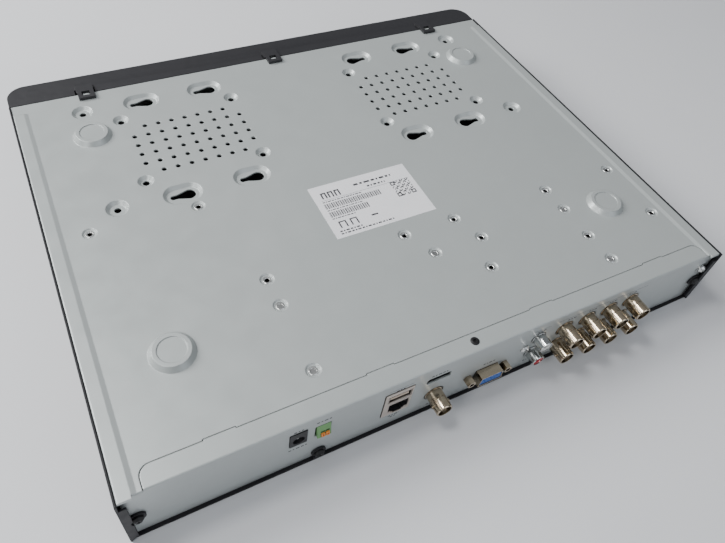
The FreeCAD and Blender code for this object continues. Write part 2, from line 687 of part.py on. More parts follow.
def front_bezel():
    body = new_body("front_bezel")
    front, back = "-(bezel_back + bezel_depth)", "-bezel_back"
    plan = sketch(body, "XY", f"{BEZEL_TOP}")
    rectangle(plan, "-bezel_width/2", "bezel_width/2", front, back)
    tall = f"({BEZEL_TOP} - ({BEZEL_LOW}))"
    pad(body, plan, tall, reverse=True)
    hollow = sketch(body, "XY", f"{BEZEL_TOP} - bezel_wall")
    rectangle(hollow, "-bezel_width/2 + bezel_wall", "bezel_width/2 - bezel_wall",
              f"{front} + bezel_wall", f"{back} + 1")
    pocket(body, hollow, f"{tall} - 2*bezel_wall")

    def inner_corner(middle, along):
        return upright(along) and near(middle.y, f"{front} + bezel_wall")
    round_edges(body, "bezel_corner - bezel_wall", inner_corner)
    round_edges(body, "bezel_corner", lambda middle, along: upright(along) and near(middle.y, front))

    seat = sketch(body, "XZ", "bezel_back + bezel_depth - 0.8")
    rectangle(seat, "50", "150", "-31", "-14")
    pocket(body, seat, "2", reverse=True)

    arms = sketch(body, "XY", f"{BEZEL_TOP} - bezel_wall/2")
    for side in CLIPS:
        middle = f"{side}*clip_x"
        rectangle(arms, f"{middle} - clip_width/2", f"{middle} + clip_width/2", "-8.8", back)
    pad(body, arms, f"clip_rise - {BEZEL_TOP} + bezel_wall/2 - 0.9")
    hooks = sketch(body, "XY", "0.25")
    for side in CLIPS:
        middle = f"{side}*clip_x"
        rectangle(hooks, f"{middle} - clip_width/2 + 0.4", f"{middle} + clip_width/2 - 0.4", "-3",
                  "clip_reach")
    pad(body, hooks, "clip_rise - 0.25")
    eyes = sketch(body, "XY", "0.25")
    for side in CLIPS:
        middle = f"{side}*clip_x"
        rectangle(eyes, f"{middle} - 2.6", f"{middle} + 2.6", "-0.2", "4.2")
    cut_through(body, eyes)
    slits = sketch(body, "XY", f"{BEZEL_TOP}")
    for side in CLIPS:
        for edge in SIDES:
            inside = f"{side}*clip_x + {edge}*clip_width/2"
            rectangle(slits, inside, f"{inside} + {edge}*0.9", "-6", f"{back} + 1")
    pocket(body, slits, "bezel_wall")

    holes = sketch(body, "XZ", "bezel_back + bezel_depth")
    for across in LIGHTS:
        circle(holes, f"{across}", f"{LIGHT_Z}", "1.5")
    rectangle(holes, f"{FRONT_USB[0]} - 7.2", f"{FRONT_USB[0]} + 7.2", f"{FRONT_USB[1]} - 3.5",
              f"{FRONT_USB[1]} + 3.5")
    pocket(body, holes, "bezel_wall + 1")
    return body


def front_window():
    body = new_body("front_window", "0", "-(bezel_back + bezel_depth)", "0")
    plate = sketch(body, "XZ", "-0.75")
    rectangle(plate, "50.15", "149.85", "-30.85", "-14.15")
    pad(body, plate, "0.7")
    holes = sketch(body, "XZ", "0")
    for across in LIGHTS:
        circle(holes, f"{across}", f"{LIGHT_Z}", "1.5")
    rectangle(holes, f"{FRONT_USB[0]} - 7.2", f"{FRONT_USB[0]} + 7.2", f"{FRONT_USB[1]} - 3.5",
              f"{FRONT_USB[1]} + 3.5")
    cut_through(body, holes)
    return body


def turned(label, profile, across="0", along="0", height="0"):
    """A round piece about the Y axis from (radius, distance) corners."""
    body = new_body(label, across, along, height)
    drawing = sketch(body, "XY")
    outline(drawing, profile)
    revolve(body, drawing)
    return body


def light_pipes():
    profile = [("0", "0"), ("1.35", "0"), ("1.35", "2.45"), ("2.2", "2.45"), ("2.2", "3.8"),
               ("1.2", "3.8"), ("1.2", "18.2"), ("0", "18.2")]
    pipe = turned("light_pipe", profile)
    front = "-(bezel_back + bezel_depth)"
    places = [(f"{across}", front, f"{LIGHT_Z}") for across in LIGHTS]
    return group("light_pipes", copies(pipe, places))


def usb_shell(label, across, face, height, depth):
    """A sheet metal USB socket shell whose mouth faces along Y; depth may be negative."""
    body = new_body(label, across, face, height)
    ring = sketch(body, "XZ")
    rectangle(ring, "-usb_width/2 - 0.3", "usb_width/2 + 0.3", "-usb_height/2 - 0.3", "usb_height/2 + 0.3")
    rectangle(ring, "-usb_width/2", "usb_width/2", "-usb_height/2", "usb_height/2")
    pad(body, ring, f"{abs(depth)}", reverse=depth > 0)
    return body


def front_usb():
    face = "-(bezel_back + bezel_depth)"
    shell = usb_shell("front_usb_shell", f"{FRONT_USB[0]}", face, f"{FRONT_USB[1]}", 19.5)
    tongue = block("front_usb_tongue", f"{FRONT_USB[0]} - 5.6", f"{FRONT_USB[0]} + 5.6", f"{face} + 1.5",
                   f"{face} + 19.5", f"{FRONT_USB[1]} - 1.9", f"{FRONT_USB[1]} - 0.1")
    return shell, tongue


# ---------------------------------------------------------------- sockets on the rear panel

BEHIND = "panel_y - sheet - 0.05"
BOARD_TOP = "-board_drop"
BOARD_LOW = "(-board_drop - board_thick)"
UNDER_BOARD = "(-board_drop - board_thick - 0.05)"
VGA_ROWS = ((-4.0, -1.98), (-5.15, 0.0), (-4.0, 1.98))
VGA_PIN_PITCH = 2.3
USB_TONGUE_TOP = "(usb_z + 0.3)"


def barrel(label, across, height):
    """A bayonet video socket: collar, barrel with a groove, and two lugs."""
    low = "bnc_radius + 0.7"
    profile = [("1.9", "-3"), (low, "-3"), (low, "0.1"), ("bnc_radius", "0.3"), ("bnc_radius", "5.0"),
               ("bnc_radius - 0.25", "5.1"), ("bnc_radius - 0.25", "5.6"), ("bnc_radius", "5.7"),
               ("bnc_radius", "bnc_length - 0.5"), ("bnc_radius - 0.3", "bnc_length"),
               ("bnc_bore", "bnc_length"), ("bnc_bore", "1.0"), ("1.9", "1.0")]
    body = turned(label, profile, across, "panel_y", height)
    for side in SIDES:
        lug = sketch(body, "YZ", f"{side}*(bnc_radius - 0.4)")
        circle(lug, "7.2", "0", "1.0")
        pad(body, lug, "1.0", reverse=side < 0)
    return body


def insulator_profile():
    return [("0.75", "-3"), ("1.85", "-3"), ("1.85", "8.4"), ("1.6", "8.8"), ("0.75", "8.8")]


def contact_profile():
    return [("0", "-7"), ("0.7", "-7"), ("0.7", "8.2"), ("0.45", "8.4"), ("0.45", "5.0"), ("0", "5.0")]


def video_out():
    across, height = "video_x", "video_z"
    ring = barrel("video_out_barrel", across, height)
    insulator = turned("video_out_insulator", insulator_profile(), across, "panel_y", height)
    contact = turned("video_out_contact", contact_profile(), across, "panel_y", height)
    housing = socket_housing("video_out_housing", "video_x - 8", "video_x + 8", "-38.5", "-21.8", 18,
                             [(across, height, "bnc_radius + 0.7")])
    return ring, insulator, contact, housing


def camera_set():
    every = [(across, "panel_y", height) for across, height in camera_sockets()]
    upper, lower = every[:4], every[4:]
    pattern = barrel("camera_barrel", "0", "0")
    insulator = turned("camera_insulator", insulator_profile())
    contact = turned("camera_contact", contact_profile())
    return (group("camera_barrels_upper", copies(pattern, upper)),
            group("camera_barrels_lower", copies(pattern, lower)),
            group("camera_insulators", copies(insulator, every)),
            group("camera_contacts", copies(contact, every)))


def socket_housing(label, right, left, low, high, deep, holes):
    """A moulded block behind the panel that holds round barrels."""
    body = new_body(label)
    face = sketch(body, "XZ", minus(BEHIND))
    rectangle(face, right, left, low, high)
    pad(body, face, f"{deep}")
    seats = sketch(body, "XZ", minus(BEHIND))
    for across, height, radius in holes:
        circle(seats, across, height, f"{radius} + 0.02")
    pocket(body, seats, "1.95", reverse=True)
    leads = sketch(body, "XZ", minus(BEHIND))
    for across, height, radius in holes:
        circle(leads, across, height, "0.75")
    pocket(body, leads, "6.5", reverse=True)
    return body


def camera_housing():
    holes = [(across, height, "bnc_radius + 0.7") for across, height in camera_sockets()]
    return socket_housing("camera_socket_housing", "bnc_first - 3*bnc_pitch - 7.7", "bnc_first + 7.7",
                          "-41.5", UNDER_BOARD, 17, holes)


def audio_set():
    ring = [("rca_radius - 0.75", "-3"), ("rca_radius + 0.5", "-3"), ("rca_radius + 0.5", "0.4"),
            ("rca_radius", "0.6"), ("rca_radius", "rca_length - 0.3"),
            ("rca_radius - 0.3", "rca_length"), ("rca_radius - 0.75", "rca_length")]
    core = [("1.6", "-3"), ("rca_radius - 0.78", "-3"), ("rca_radius - 0.78", "rca_length - 0.5"),
            ("1.9", "rca_length - 0.5"), ("1.6", "rca_length - 0.8")]
    places = [("rca_x", "panel_y", height) for height in ("rca_upper", "rca_lower")]
    barrels = group("audio_barrels", copies(turned("audio_barrel", ring), places))
    white = turned("audio_insert_white", core, *places[0])
    red = turned("audio_insert_red", core, *places[1])
    holes = [("rca_x", height, "rca_radius + 0.5") for height in ("rca_upper", "rca_lower")]
    housing = socket_housing("audio_housing", "rca_x - 6.4", "rca_x + 11", "-36.5", UNDER_BOARD, 12, holes)
    core_hole = sketch(housing, "XZ", minus(f"({BEHIND} + 1)"))
    circle(core_hole, f"{AUDIO_SCREW[0]}", f"{AUDIO_SCREW[1]}", f"{SCREW_CORE}")
    pocket(housing, core_hole, "8", reverse=True)
    return barrels, white, red, housing


def display_socket():
    shell = new_body("vga_shell", "0", "panel_y", "0")
    flange = sketch(shell, "XZ", "sheet + 0.05")
    rectangle(flange, "vga_x - 15.4", "vga_x + 15.4", "vga_z - 6.2", "vga_z + 6.2")
    draw_display_cut(flange, -0.5)
    for side in SIDES:
        circle(flange, f"vga_x + {side}*vga_pitch/2", "vga_z", "1.55")
    pad(shell, flange, "0.8")
    ring = sketch(shell, "XZ", "sheet + 0.1")
    draw_display_cut(ring, 0)
    draw_display_cut(ring, -0.5)
    pad(shell, ring, "5.8 + sheet + 0.1", reverse=True)

    insert = new_body("vga_insert", "0", "panel_y", "0")
    core = sketch(insert, "XZ", "9")
    draw_display_cut(core, -0.52)
    pad(insert, core, "9 + 5.3", reverse=True)
    holes = sketch(insert, "XZ", "-5.3")
    for start, height in VGA_ROWS:
        for column in range(5):
            circle(holes, f"vga_x + {start + 0.55 + VGA_PIN_PITCH * column}", f"vga_z + {height}", "0.5")
    pocket(insert, holes, "6", reverse=True)

    post = new_body("vga_post")
    flats = sketch(post, "XZ", "sheet + 1.0")
    turns = [math.pi * i / 3 for i in range(6)]
    outline(flats, [(f"{2.85 * math.cos(turn)}", f"{2.85 * math.sin(turn)}") for turn in turns])
    thread = sketch(post, "XZ", "3.5")
    circle(thread, "0", "0", "1.5")
    pad(post, thread, "3.6", reverse=True)
    flats.setExpression("AttachmentOffset.Base.z", bind("-0.05"))
    pad(post, flats, "4.95", reverse=True)
    bore = sketch(post, "XZ", "-5")
    circle(bore, "0", "0", "1.4")
    pocket(post, bore, "4.2", reverse=True)
    places = [(f"vga_x + {side}*vga_pitch/2", "panel_y", "vga_z") for side in SIDES]
    return shell, insert, group("vga_posts", copies(post, places))


def hdmi_socket():
    shell = new_body("hdmi_shell", "0", "panel_y", "0")
    ring = sketch(shell, "XZ", "sheet + 0.05")
    draw_hdmi_outline(ring, 7.4, 2.5, 1.15)
    draw_hdmi_outline(ring, 7.1, 2.2, 1.05)
    pad(shell, ring, "10.9")
    tongue = block("hdmi_tongue", "hdmi_x - 5.4", "hdmi_x + 5.4", "panel_y - 11.9", "panel_y - 1.6",
                   "hdmi_z - 0.9", "hdmi_z + 0.3")
    back = block("hdmi_back", "hdmi_x - 7.0", "hdmi_x + 7.0", "panel_y - 12.9", "panel_y - 11.9",
                 "hdmi_z - 2.1", "hdmi_z + 1.1")
    return shell, fused("hdmi_tongue_moulding", tongue, back)


def fused(label, *pieces):
    thing = doc.addObject("Part::MultiFuse", label)
    thing.Label = label
    thing.Shapes = list(pieces)
    return thing


def usb_lan_block():
    body = new_body("usb_lan_shell", "0", "panel_y", "0")
    left, right = "module_x + module_width/2", "module_x - module_width/2"
    outer = sketch(body, "XZ", "-0.4")
    rectangle(outer, right, left, "module_high", "module_low")
    pad(body, outer, "21.4")
    inside = sketch(body, "XZ", "0")
    rectangle(inside, f"{right} + 0.4", f"{left} - 0.4", "module_high + 0.4", "module_low - 0.4")
    pocket(body, inside, "22", reverse=True)
    frame_cut = sketch(body, "XZ", "-0.4")
    rectangle(frame_cut, "usb_x - usb_width/2 - 0.65", "usb_x + usb_width/2 + 0.65",
              "usb_z - usb_height/2 - 0.65", "usb_z + usb_height/2 + 0.65")
    pocket(body, frame_cut, "0.6", reverse=True)
    sleeve = sketch(body, "XZ", "-0.3")
    rectangle(sleeve, "usb_x - usb_width/2 - 0.35", "usb_x + usb_width/2 + 0.35",
              "usb_z - usb_height/2 - 0.35", "usb_z + usb_height/2 + 0.35")
    pad(body, sleeve, "14.3")
    mouth = sketch(body, "XZ", "-0.4")
    rectangle(mouth, "usb_x - usb_width/2", "usb_x + usb_width/2",
              "usb_z - usb_height/2", "usb_z + usb_height/2")
    pocket(body, mouth, "13.7", reverse=True)
    back = sketch(body, "XZ", "14")
    rectangle(back, right, left, "usb_z - usb_height/2 - 1", "module_low")
    pad(body, back, "0.5")
    jack = sketch(body, "XZ", "-0.4")
    draw_network_mouth(jack)
    pocket(body, jack, "0.6", reverse=True)
    tongue = block("usb_tongue", "usb_x - 5.6", "usb_x + 5.6", "panel_y - 13.3", "panel_y - 0.3",
                   "usb_z - 1.5", USB_TONGUE_TOP)
    return body, tongue, usb_contacts()


def usb_contacts():
    strips = []
    for count, offset in enumerate((-3.5, -1.0, 1.0, 3.5)):
        middle = f"usb_x + {offset}"
        strips.append(block(f"usb_contact_{count}", f"{middle} - 0.5", f"{middle} + 0.5", "panel_y - 12",
                            "panel_y - 1.6", USB_TONGUE_TOP, f"{USB_TONGUE_TOP} + 0.15"))
    return group("usb_contacts", strips)


def draw_network_mouth(drawing):
    """The stepped mouth of the network socket, its latch side next to the cover."""
    steps = ((6.0, -21.0), (6.0, -28.8), (4.0, -28.8), (4.0, -29.9), (2.7, -29.9), (2.7, -31.2))
    right_side = [(f"lan_x - {half}", f"{height}") for half, height in steps]
    left_side = [(f"lan_x + {half}", f"{height}") for half, height in reversed(steps)]
    outline(drawing, right_side + left_side)


def network_insert():
    body = new_body("lan_insert", "0", "panel_y", "0")
    face = sketch(body, "XZ", "0.05")
    rectangle(face, "module_x - module_width/2 + 0.45", "module_x + module_width/2 - 0.45",
              "module_high + 0.45", "-19.4")
    pad(body, face, "18")
    mouth = sketch(body, "XZ", "0.05")
    draw_network_mouth(mouth)
    pocket(body, mouth, "13", reverse=True)
    wire = new_body("lan_contact")
    profile = sketch(wire, "YZ", "-0.15")
    outline(profile, [("-13.0", "-21.05"), ("-3.0", "-21.05"), ("-11.5", "-24.7"), ("-11.8", "-24.5"),
                      ("-4.6", "-21.35"), ("-13.0", "-21.35")])
    pad(wire, profile, "0.3")
    places = [(f"lan_x + {1.02 * (i - 3.5)}", "panel_y", "0") for i in range(8)]
    return body, group("lan_contacts", copies(wire, places))


def power_inlet():
    body = new_body("power_jack", "0", "panel_y", "0")
    face = sketch(body, "XZ", "-0.5")
    rectangle(face, "jack_x - jack_width/2", "jack_x + jack_width/2", "jack_high", UNDER_BOARD)
    pad(body, face, "14")
    bore = sketch(body, "XZ", "-0.5")
    circle(bore, "jack_x", "jack_hole_z", "jack_hole")
    pocket(body, bore, "11", reverse=True)
    stem = sketch(body, "XZ", "10.5")
    circle(stem, "jack_x", "jack_hole_z", "1.0")
    pocket(body, stem, "2", reverse=True)
    profile = [("0", "-12.5"), ("0.98", "-12.5"), ("0.98", "-1.1"), ("0.6", "-0.6"), ("0", "-0.6")]
    return body, turned("power_jack_pin", profile, "jack_x", "panel_y", "jack_hole_z")


TERMINAL_HIGH = -10.4
TERMINAL_LOW = -20.0
TERMINAL_TOP_OUT = 0.1
WIRE_HOLE = (-16.3, -15.2)
BUTTON_MIDDLE = -17.9
BUTTON_HALF = 1.2
BUTTON_PROUD = 0.75
BUTTON_EDGE = 0.25
BUTTON_SIDES = (("terminal_button_left", 1), ("terminal_button_right", -1))


def slope_at(height):
    """How far the leaning face of the terminal stands proud at a height."""
    share = (TERMINAL_HIGH - height) / (TERMINAL_HIGH - TERMINAL_LOW)
    return TERMINAL_TOP_OUT + share * (number("terminal_out") - TERMINAL_TOP_OUT)


def way(side):
    return f"terminal_x + terminal_shift + {side}*terminal_pitch/2"


def terminal():
    body = new_body("terminal_block", "terminal_x - terminal_width/2", "panel_y", "0")
    profile = sketch(body, "YZ")
    outline(profile, [("-8", UNDER_BOARD), ("-sheet - 0.2", UNDER_BOARD),
                      ("-sheet - 0.2", f"{TERMINAL_HIGH}"), (f"{TERMINAL_TOP_OUT}", f"{TERMINAL_HIGH}"),
                      ("terminal_out", f"{TERMINAL_LOW}"), ("-8", f"{TERMINAL_LOW}")])
    pad(body, profile, "terminal_width")
    shift = "- (terminal_x - terminal_width/2)"
    mouths = sketch(body, "XZ", "-terminal_out")
    slots = sketch(body, "XZ", "-terminal_out")
    for side in SIDES:
        middle = f"{way(side)} {shift}"
        rectangle(mouths, f"{middle} - 1.1", f"{middle} + 1.1", f"{WIRE_HOLE[0]}", f"{WIRE_HOLE[1]}")
        rectangle(slots, f"{middle} - 1.14", f"{middle} + 1.14", f"{BUTTON_MIDDLE - BUTTON_HALF - 0.15}",
                  f"{BUTTON_MIDDLE + BUTTON_HALF + 0.15}")
    pocket(body, mouths, "8", reverse=True)
    pocket(body, slots, "terminal_out + button_grip + button_travel + 0.2", reverse=True)

    leaf = new_body("terminal_contact")
    bent = sketch(leaf, "YZ", "-0.6")
    floor = WIRE_HOLE[0] + 0.05
    outline(bent, [("-5.1", f"{floor}"), ("-1.5", f"{floor}"), ("-1.5", f"{floor + 0.2}"),
                   ("-3.6", f"{floor + 0.2}"), ("-4.8", f"{floor + 0.9}"), ("-5.1", f"{floor + 0.8}")])
    pad(leaf, bent, "1.2")
    contacts = group("terminal_contacts", copies(leaf, [(way(side), "panel_y", "0") for side in SIDES]))
    return body, contacts


def terminal_buttons():
    """Two release buttons, each with a slot for a screwdriver in its face."""
    low, high = BUTTON_MIDDLE - BUTTON_HALF, BUTTON_MIDDLE + BUTTON_HALF
    low_out, high_out = slope_at(low) + BUTTON_PROUD, slope_at(high) + BUTTON_PROUD
    for label, side in BUTTON_SIDES:
        body = new_body(label, way(side), "panel_y", "0")
        profile = sketch(body, "YZ", "-1.0")
        outline(profile, [("-button_grip", f"{low}"), (f"{low_out - BUTTON_EDGE}", f"{low}"),
                          (f"{low_out}", f"{low + BUTTON_EDGE}"), (f"{high_out}", f"{high - BUTTON_EDGE}"),
                          (f"{high_out - BUTTON_EDGE}", f"{high}"), ("-button_grip", f"{high}")])
        pad(body, profile, "2.0")
        driver_slot = sketch(body, "XZ", f"-{low_out + 0.2}")
        rectangle(driver_slot, "-0.35", "0.35", f"{low + 0.4}", f"{high - 0.4}")
        pocket(body, driver_slot, "1.3", reverse=True)
        yield body


# ---------------------------------------------------------------- screws and small trim

def screw_profile(head_radius, head, grip):
    """Pan head standing off its seat at zero, its core running inwards."""
    core = f"{SCREW_CORE - 0.02}"
    return [("0", f"-{grip}"), (core, f"-{grip}"), (core, "0"), (f"{head_radius}", "0"),
            (f"{head_radius}", f"{head * 0.45}"), (f"{head_radius * 0.6}", f"{head}"), ("0", f"{head}")]


def cross_recess(body, top, size):
    drawing = sketch(body, "XZ", f"-{top}")
    half, narrow = size, 0.28
    outline(drawing, [(f"{x}", f"{z}") for x, z in (
        (half, narrow), (narrow, narrow), (narrow, half), (-narrow, half), (-narrow, narrow),
        (-half, narrow), (-half, -narrow), (-narrow, -narrow), (-narrow, -half), (narrow, -half),
        (narrow, -narrow), (half, -narrow))])
    pocket(body, drawing, f"{top * 0.6}", reverse=True)


def rear_screws():
    pattern = turned("cover_screw", screw_profile(2.8, 2.2, 5))
    cross_recess(pattern, 2.2, 1.2)
    places = [(f"{across}", "panel_y + 1.2", f"{height}") for across, height in LIP_SCREWS]
    cover_screws = group("cover_screws", copies(pattern, places))
    washer = new_body("ground_washer", f"{GROUND_SCREW[0]}", "panel_y", f"{GROUND_SCREW[1]}")
    ring = sketch(washer, "XZ")
    circle(ring, "0", "0", "3.6")
    circle(ring, "0", "0", "1.5")
    pad(washer, ring, "0.5", reverse=True)
    ground = turned("ground_screw", screw_profile(2.8, 2.0, 5), f"{GROUND_SCREW[0]}", "panel_y + 0.5",
                    f"{GROUND_SCREW[1]}")
    cross_recess(ground, 2.0, 1.2)
    audio = turned("audio_screw", screw_profile(2.75, 1.5, 7), f"{AUDIO_SCREW[0]}", "panel_y",
                   f"{AUDIO_SCREW[1]}")
    cross_recess(audio, 1.5, 1.1)
    return cover_screws, washer, ground, audio


def flange_screw():
    """Low black screw that holds the panel's flange to the tray's ledge."""
    across, along = FLANGE_SCREW
    body = new_body("flange_screw", f"{across}", f"{along}", "0")
    drawing = sketch(body, "XZ")
    core = f"{SCREW_CORE - 0.02}"
    outline(drawing, [("0", "-3.5"), (core, "-3.5"), (core, "0"), ("2.5", "0"), ("2.5", "0.25"),
                      ("1.7", "0.7"), ("0", "0.7")])
    revolve(body, drawing)
    recess = sketch(body, "XY", "0.7")
    circle(recess, "0", "0", "1.0")
    pocket(body, recess, "0.9")
    return body


def threaded_inserts():
    """Pressed-in threaded inserts; the open ones are bored through, the others closed."""
    open_one, closed_one = new_body("open_insert"), new_body("closed_insert")
    for body in (open_one, closed_one):
        drawing = sketch(body, "XZ")
        outline(drawing, [("insert_bore", "-3.4"), ("insert_radius - 0.02", "-3.4"),
                          ("insert_radius - 0.02", "-0.25"), ("insert_radius - 0.3", "0"),
                          ("insert_bore + 0.25", "0"), ("insert_bore", "-0.3")])
        revolve(body, drawing)
    plug = sketch(closed_one, "XY", "-0.25")
    circle(plug, "0", "0", "insert_bore + 0.1")
    pad(closed_one, plug, "3.15", reverse=True)
    links = copies(open_one, [(f"{x}", f"{y}", "-0.5") for x, y in OPEN_INSERTS])
    links += copies(closed_one, [(f"{x}", f"{y}", "-0.5") for x, y in BLIND_INSERTS])
    return group("threaded_inserts", links)


def product_label():
    return block("product_label", "-35.9", "32.9", "139.4", "183.8", "0", "0.15")


# ---------------------------------------------------------------- inside the case

def on_board(label, left, right, front, back, tall):
    return block(label, left, right, front, back, f"{BOARD_LOW} - {tall}", BOARD_LOW)


def main_board():
    body = new_body("main_board")
    plan = sketch(body, "XY", BOARD_TOP)
    rectangle(plan, "-132", "110", "200", f"{BEHIND} - 0.4")
    for across, along in BLIND_INSERTS:
        circle(plan, f"{across}", f"{along}", "1.8")
    pad(body, plan, "board_thick", reverse=True)
    return body


def board_screws():
    """Screws driven up through the main board into the closed inserts, with spacers."""
    screw = new_body("board_screw")
    core = f"{SCREW_CORE - 0.02}"
    profile = sketch(screw, "XZ")
    outline(profile, [("0", f"{BOARD_LOW} - 2"), ("1.7", f"{BOARD_LOW} - 2"),
                      ("2.8", f"{BOARD_LOW} - 0.9"), ("2.8", BOARD_LOW), (core, BOARD_LOW),
                      (core, "-4.2"), ("0", "-4.2")])
    revolve(screw, profile)
    spacer = new_body("board_spacer")
    ring = sketch(spacer, "XZ")
    outline(ring, [("insert_bore", BOARD_TOP), ("2.9", BOARD_TOP), ("2.9", "-4.0"), ("insert_bore", "-4.0")])
    revolve(spacer, ring)
    places = [(f"{x}", f"{y}", "0") for x, y in BLIND_INSERTS]
    return group("board_screws", copies(screw, places)), group("board_spacers", copies(spacer, places))


def heat_sink():
    body = new_body("heat_sink")
    top = f"({BOARD_LOW} - 2.4)"
    plan = sketch(body, "XY", top)
    rectangle(plan, "-6", "24", "222", "252")
    pad(body, plan, "2.5", reverse=True)
    fins = sketch(body, "XY", f"{top} - 2.4")
    for count in range(9):
        start = -6 + 3.6 * count
        rectangle(fins, f"{start}", f"{start} + 1.2", "222", "252")
    pad(body, fins, "8", reverse=True)
    return body


def capacitors():
    can = new_body("capacitor")
    profile = sketch(can, "XZ")
    outline(profile, [("0", BOARD_LOW), ("4.2", BOARD_LOW), ("4.2", f"{BOARD_LOW} - 1.2"),
                      ("3.9", f"{BOARD_LOW} - 1.6"), ("4.2", f"{BOARD_LOW} - 2.0"),
                      ("4.2", f"{BOARD_LOW} - 11"), ("3.8", f"{BOARD_LOW} - 11.4"),
                      ("0", f"{BOARD_LOW} - 11.4")])
    revolve(can, profile)
    places = [(f"{x}", f"{y}", "0") for x, y in ((66, 262), (66, 250), (78, 244), (94, 240), (-28, 212))]
    return group("capacitors", copies(can, places))


def memory_chips():
    chips = []
    for count, (across, along) in enumerate(((34, 214), (48, 214), (34, 230), (48, 230))):
        name = f"memory_chip_{count}"
        chips.append(on_board(name, f"{across}", f"{across + 9}", f"{along}", f"{along + 12}", "1.1"))
    return group("memory_chips", chips)


def coin_cell():
    """Upright ring holder with the backup cell lying in it."""
    holder = new_body("coin_cell_holder")
    plan = sketch(holder, "XY", BOARD_LOW)
    circle(plan, "-62", "228", "11.6")
    pad(holder, plan, "4.4", reverse=True)
    well = sketch(holder, "XY", f"{BOARD_LOW} - 4.4")
    circle(well, "-62", "228", "10.1")
    pocket(holder, well, "3.4", reverse=True)
    cell = new_body("coin_cell", "-62", "228", "0")
    profile = sketch(cell, "XZ")
    low = f"({BOARD_LOW} - 1.0)"
    outline(profile, [("0", low), ("8.6", low), ("9.2", f"{low} - 0.5"), ("10", f"{low} - 0.7"),
                      ("10", f"{low} - 3.0"), ("9.8", f"{low} - 3.2"), ("0", f"{low} - 3.2")])
    revolve(cell, profile)
    return holder, cell


def drive_sockets():
    """Two seven-way data sockets for the drives, open away from the board."""
    body = new_body("drive_socket")
    plan = sketch(body, "XY", BOARD_LOW)
    rectangle(plan, "-8.4", "8.4", "-3", "3")
    pad(body, plan, "8.6", reverse=True)
    well = sketch(body, "XY", f"{BOARD_LOW} - 8.6")
    rectangle(well, "-6.2", "6.2", "-1.9", "1.1")
    pocket(body, well, "6.5", reverse=True)
    blade = sketch(body, "XY", f"{BOARD_LOW} - 2")
    rectangle(blade, "-5.2", "5.2", "-1.4", "-0.2")
    pad(body, blade, "5.8", reverse=True)
    links = copies(body, [("-70", "206.5", "0"), ("-92", "206.5", "0")])
    return group("drive_sockets", links)


def drive_power_header():
    body = new_body("drive_power_header", "100", "214", "0")
    plan = sketch(body, "XY", BOARD_LOW)
    rectangle(plan, "-7", "7", "-4", "4")
    rectangle(plan, "-6", "6", "-3", "3")
    pad(body, plan, "9", reverse=True)
    floor = sketch(body, "XY", BOARD_LOW)
    rectangle(floor, "-6.5", "6.5", "-3.5", "3.5")
    pad(body, floor, "1.2", reverse=True)
    pins = sketch(body, "XY", f"{BOARD_LOW} - 1")
    for count in range(4):
        middle = 2.5 * (count - 1.5)
        rectangle(pins, f"{middle} - 0.5", f"{middle} + 0.5", "-0.5", "0.5")
    pad(body, pins, "6.5", reverse=True)
    return body


def front_board():
    """Narrow board behind the bezel that carries the indicators and the front socket."""
    low, high = "-36", "-10.5"
    body = new_body("front_board")
    face = sketch(body, "XZ", "0.05")
    rectangle(face, "45", "146", low, high)
    pad(body, face, "1.6")
    lamp = new_body("indicator_led")
    dot = sketch(lamp, "XZ")
    rectangle(dot, "-1.2", "1.2", "-0.8", "0.8")
    pad(lamp, dot, "1.1")
    places = [(f"{across}", "-1.65", f"{LIGHT_Z}") for across in LIGHTS]
    return body, group("indicator_leds", copies(lamp, places))


# ---------------------------------------------------------------- build, check and write

def build():
    parts = [base_plate(), rear_panel(), top_cover(), front_bezel(), front_window(), light_pipes()]
    parts += front_usb()
    parts += front_board()
    parts += video_out()
    parts += camera_set()
    parts.append(camera_housing())
    parts += audio_set()
    parts += display_socket()
    parts += hdmi_socket()
    parts += usb_lan_block()
    parts += network_insert()
    parts += power_inlet()
    parts += terminal()
    parts += terminal_buttons()
    parts += rear_screws()
    parts += [flange_screw(), threaded_inserts(), product_label(), main_board()]
    parts += board_screws()
    parts.append(on_board("processor", "-2", "20", "226", "248", "2.3"))
    parts += [heat_sink(), memory_chips(), capacitors()]
    parts += coin_cell()
    parts += [drive_sockets(), drive_power_header()]
    return parts


def check(thing):
    """Stop on anything that failed to rebuild."""
    if "Invalid" in thing.State or "Error" in thing.State:
        raise RuntimeError(f"{thing.Label} failed to rebuild: {thing.State}")


def write(parts):
    os.makedirs("parts", exist_ok=True)
    for part in parts:
        if part.Shape.isNull() or not part.Shape.isValid() or not part.Shape.Solids:
            raise RuntimeError(f"{part.Label} has no sound shape")
        part.Shape.exportStep(f"parts/{part.Label}.step")


PARTS = build()
doc.recompute()
for item in doc.Objects:
    check(item)
write(PARTS)
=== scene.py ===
"""A security video recorder lying on its black cover on a pale studio table.

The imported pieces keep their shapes.  This script gives every one of them a
procedural finish, adds the small printed marks, and sets the light and camera.
"""
import json
import math

import bmesh
import bpy
from mathutils import Matrix, Vector


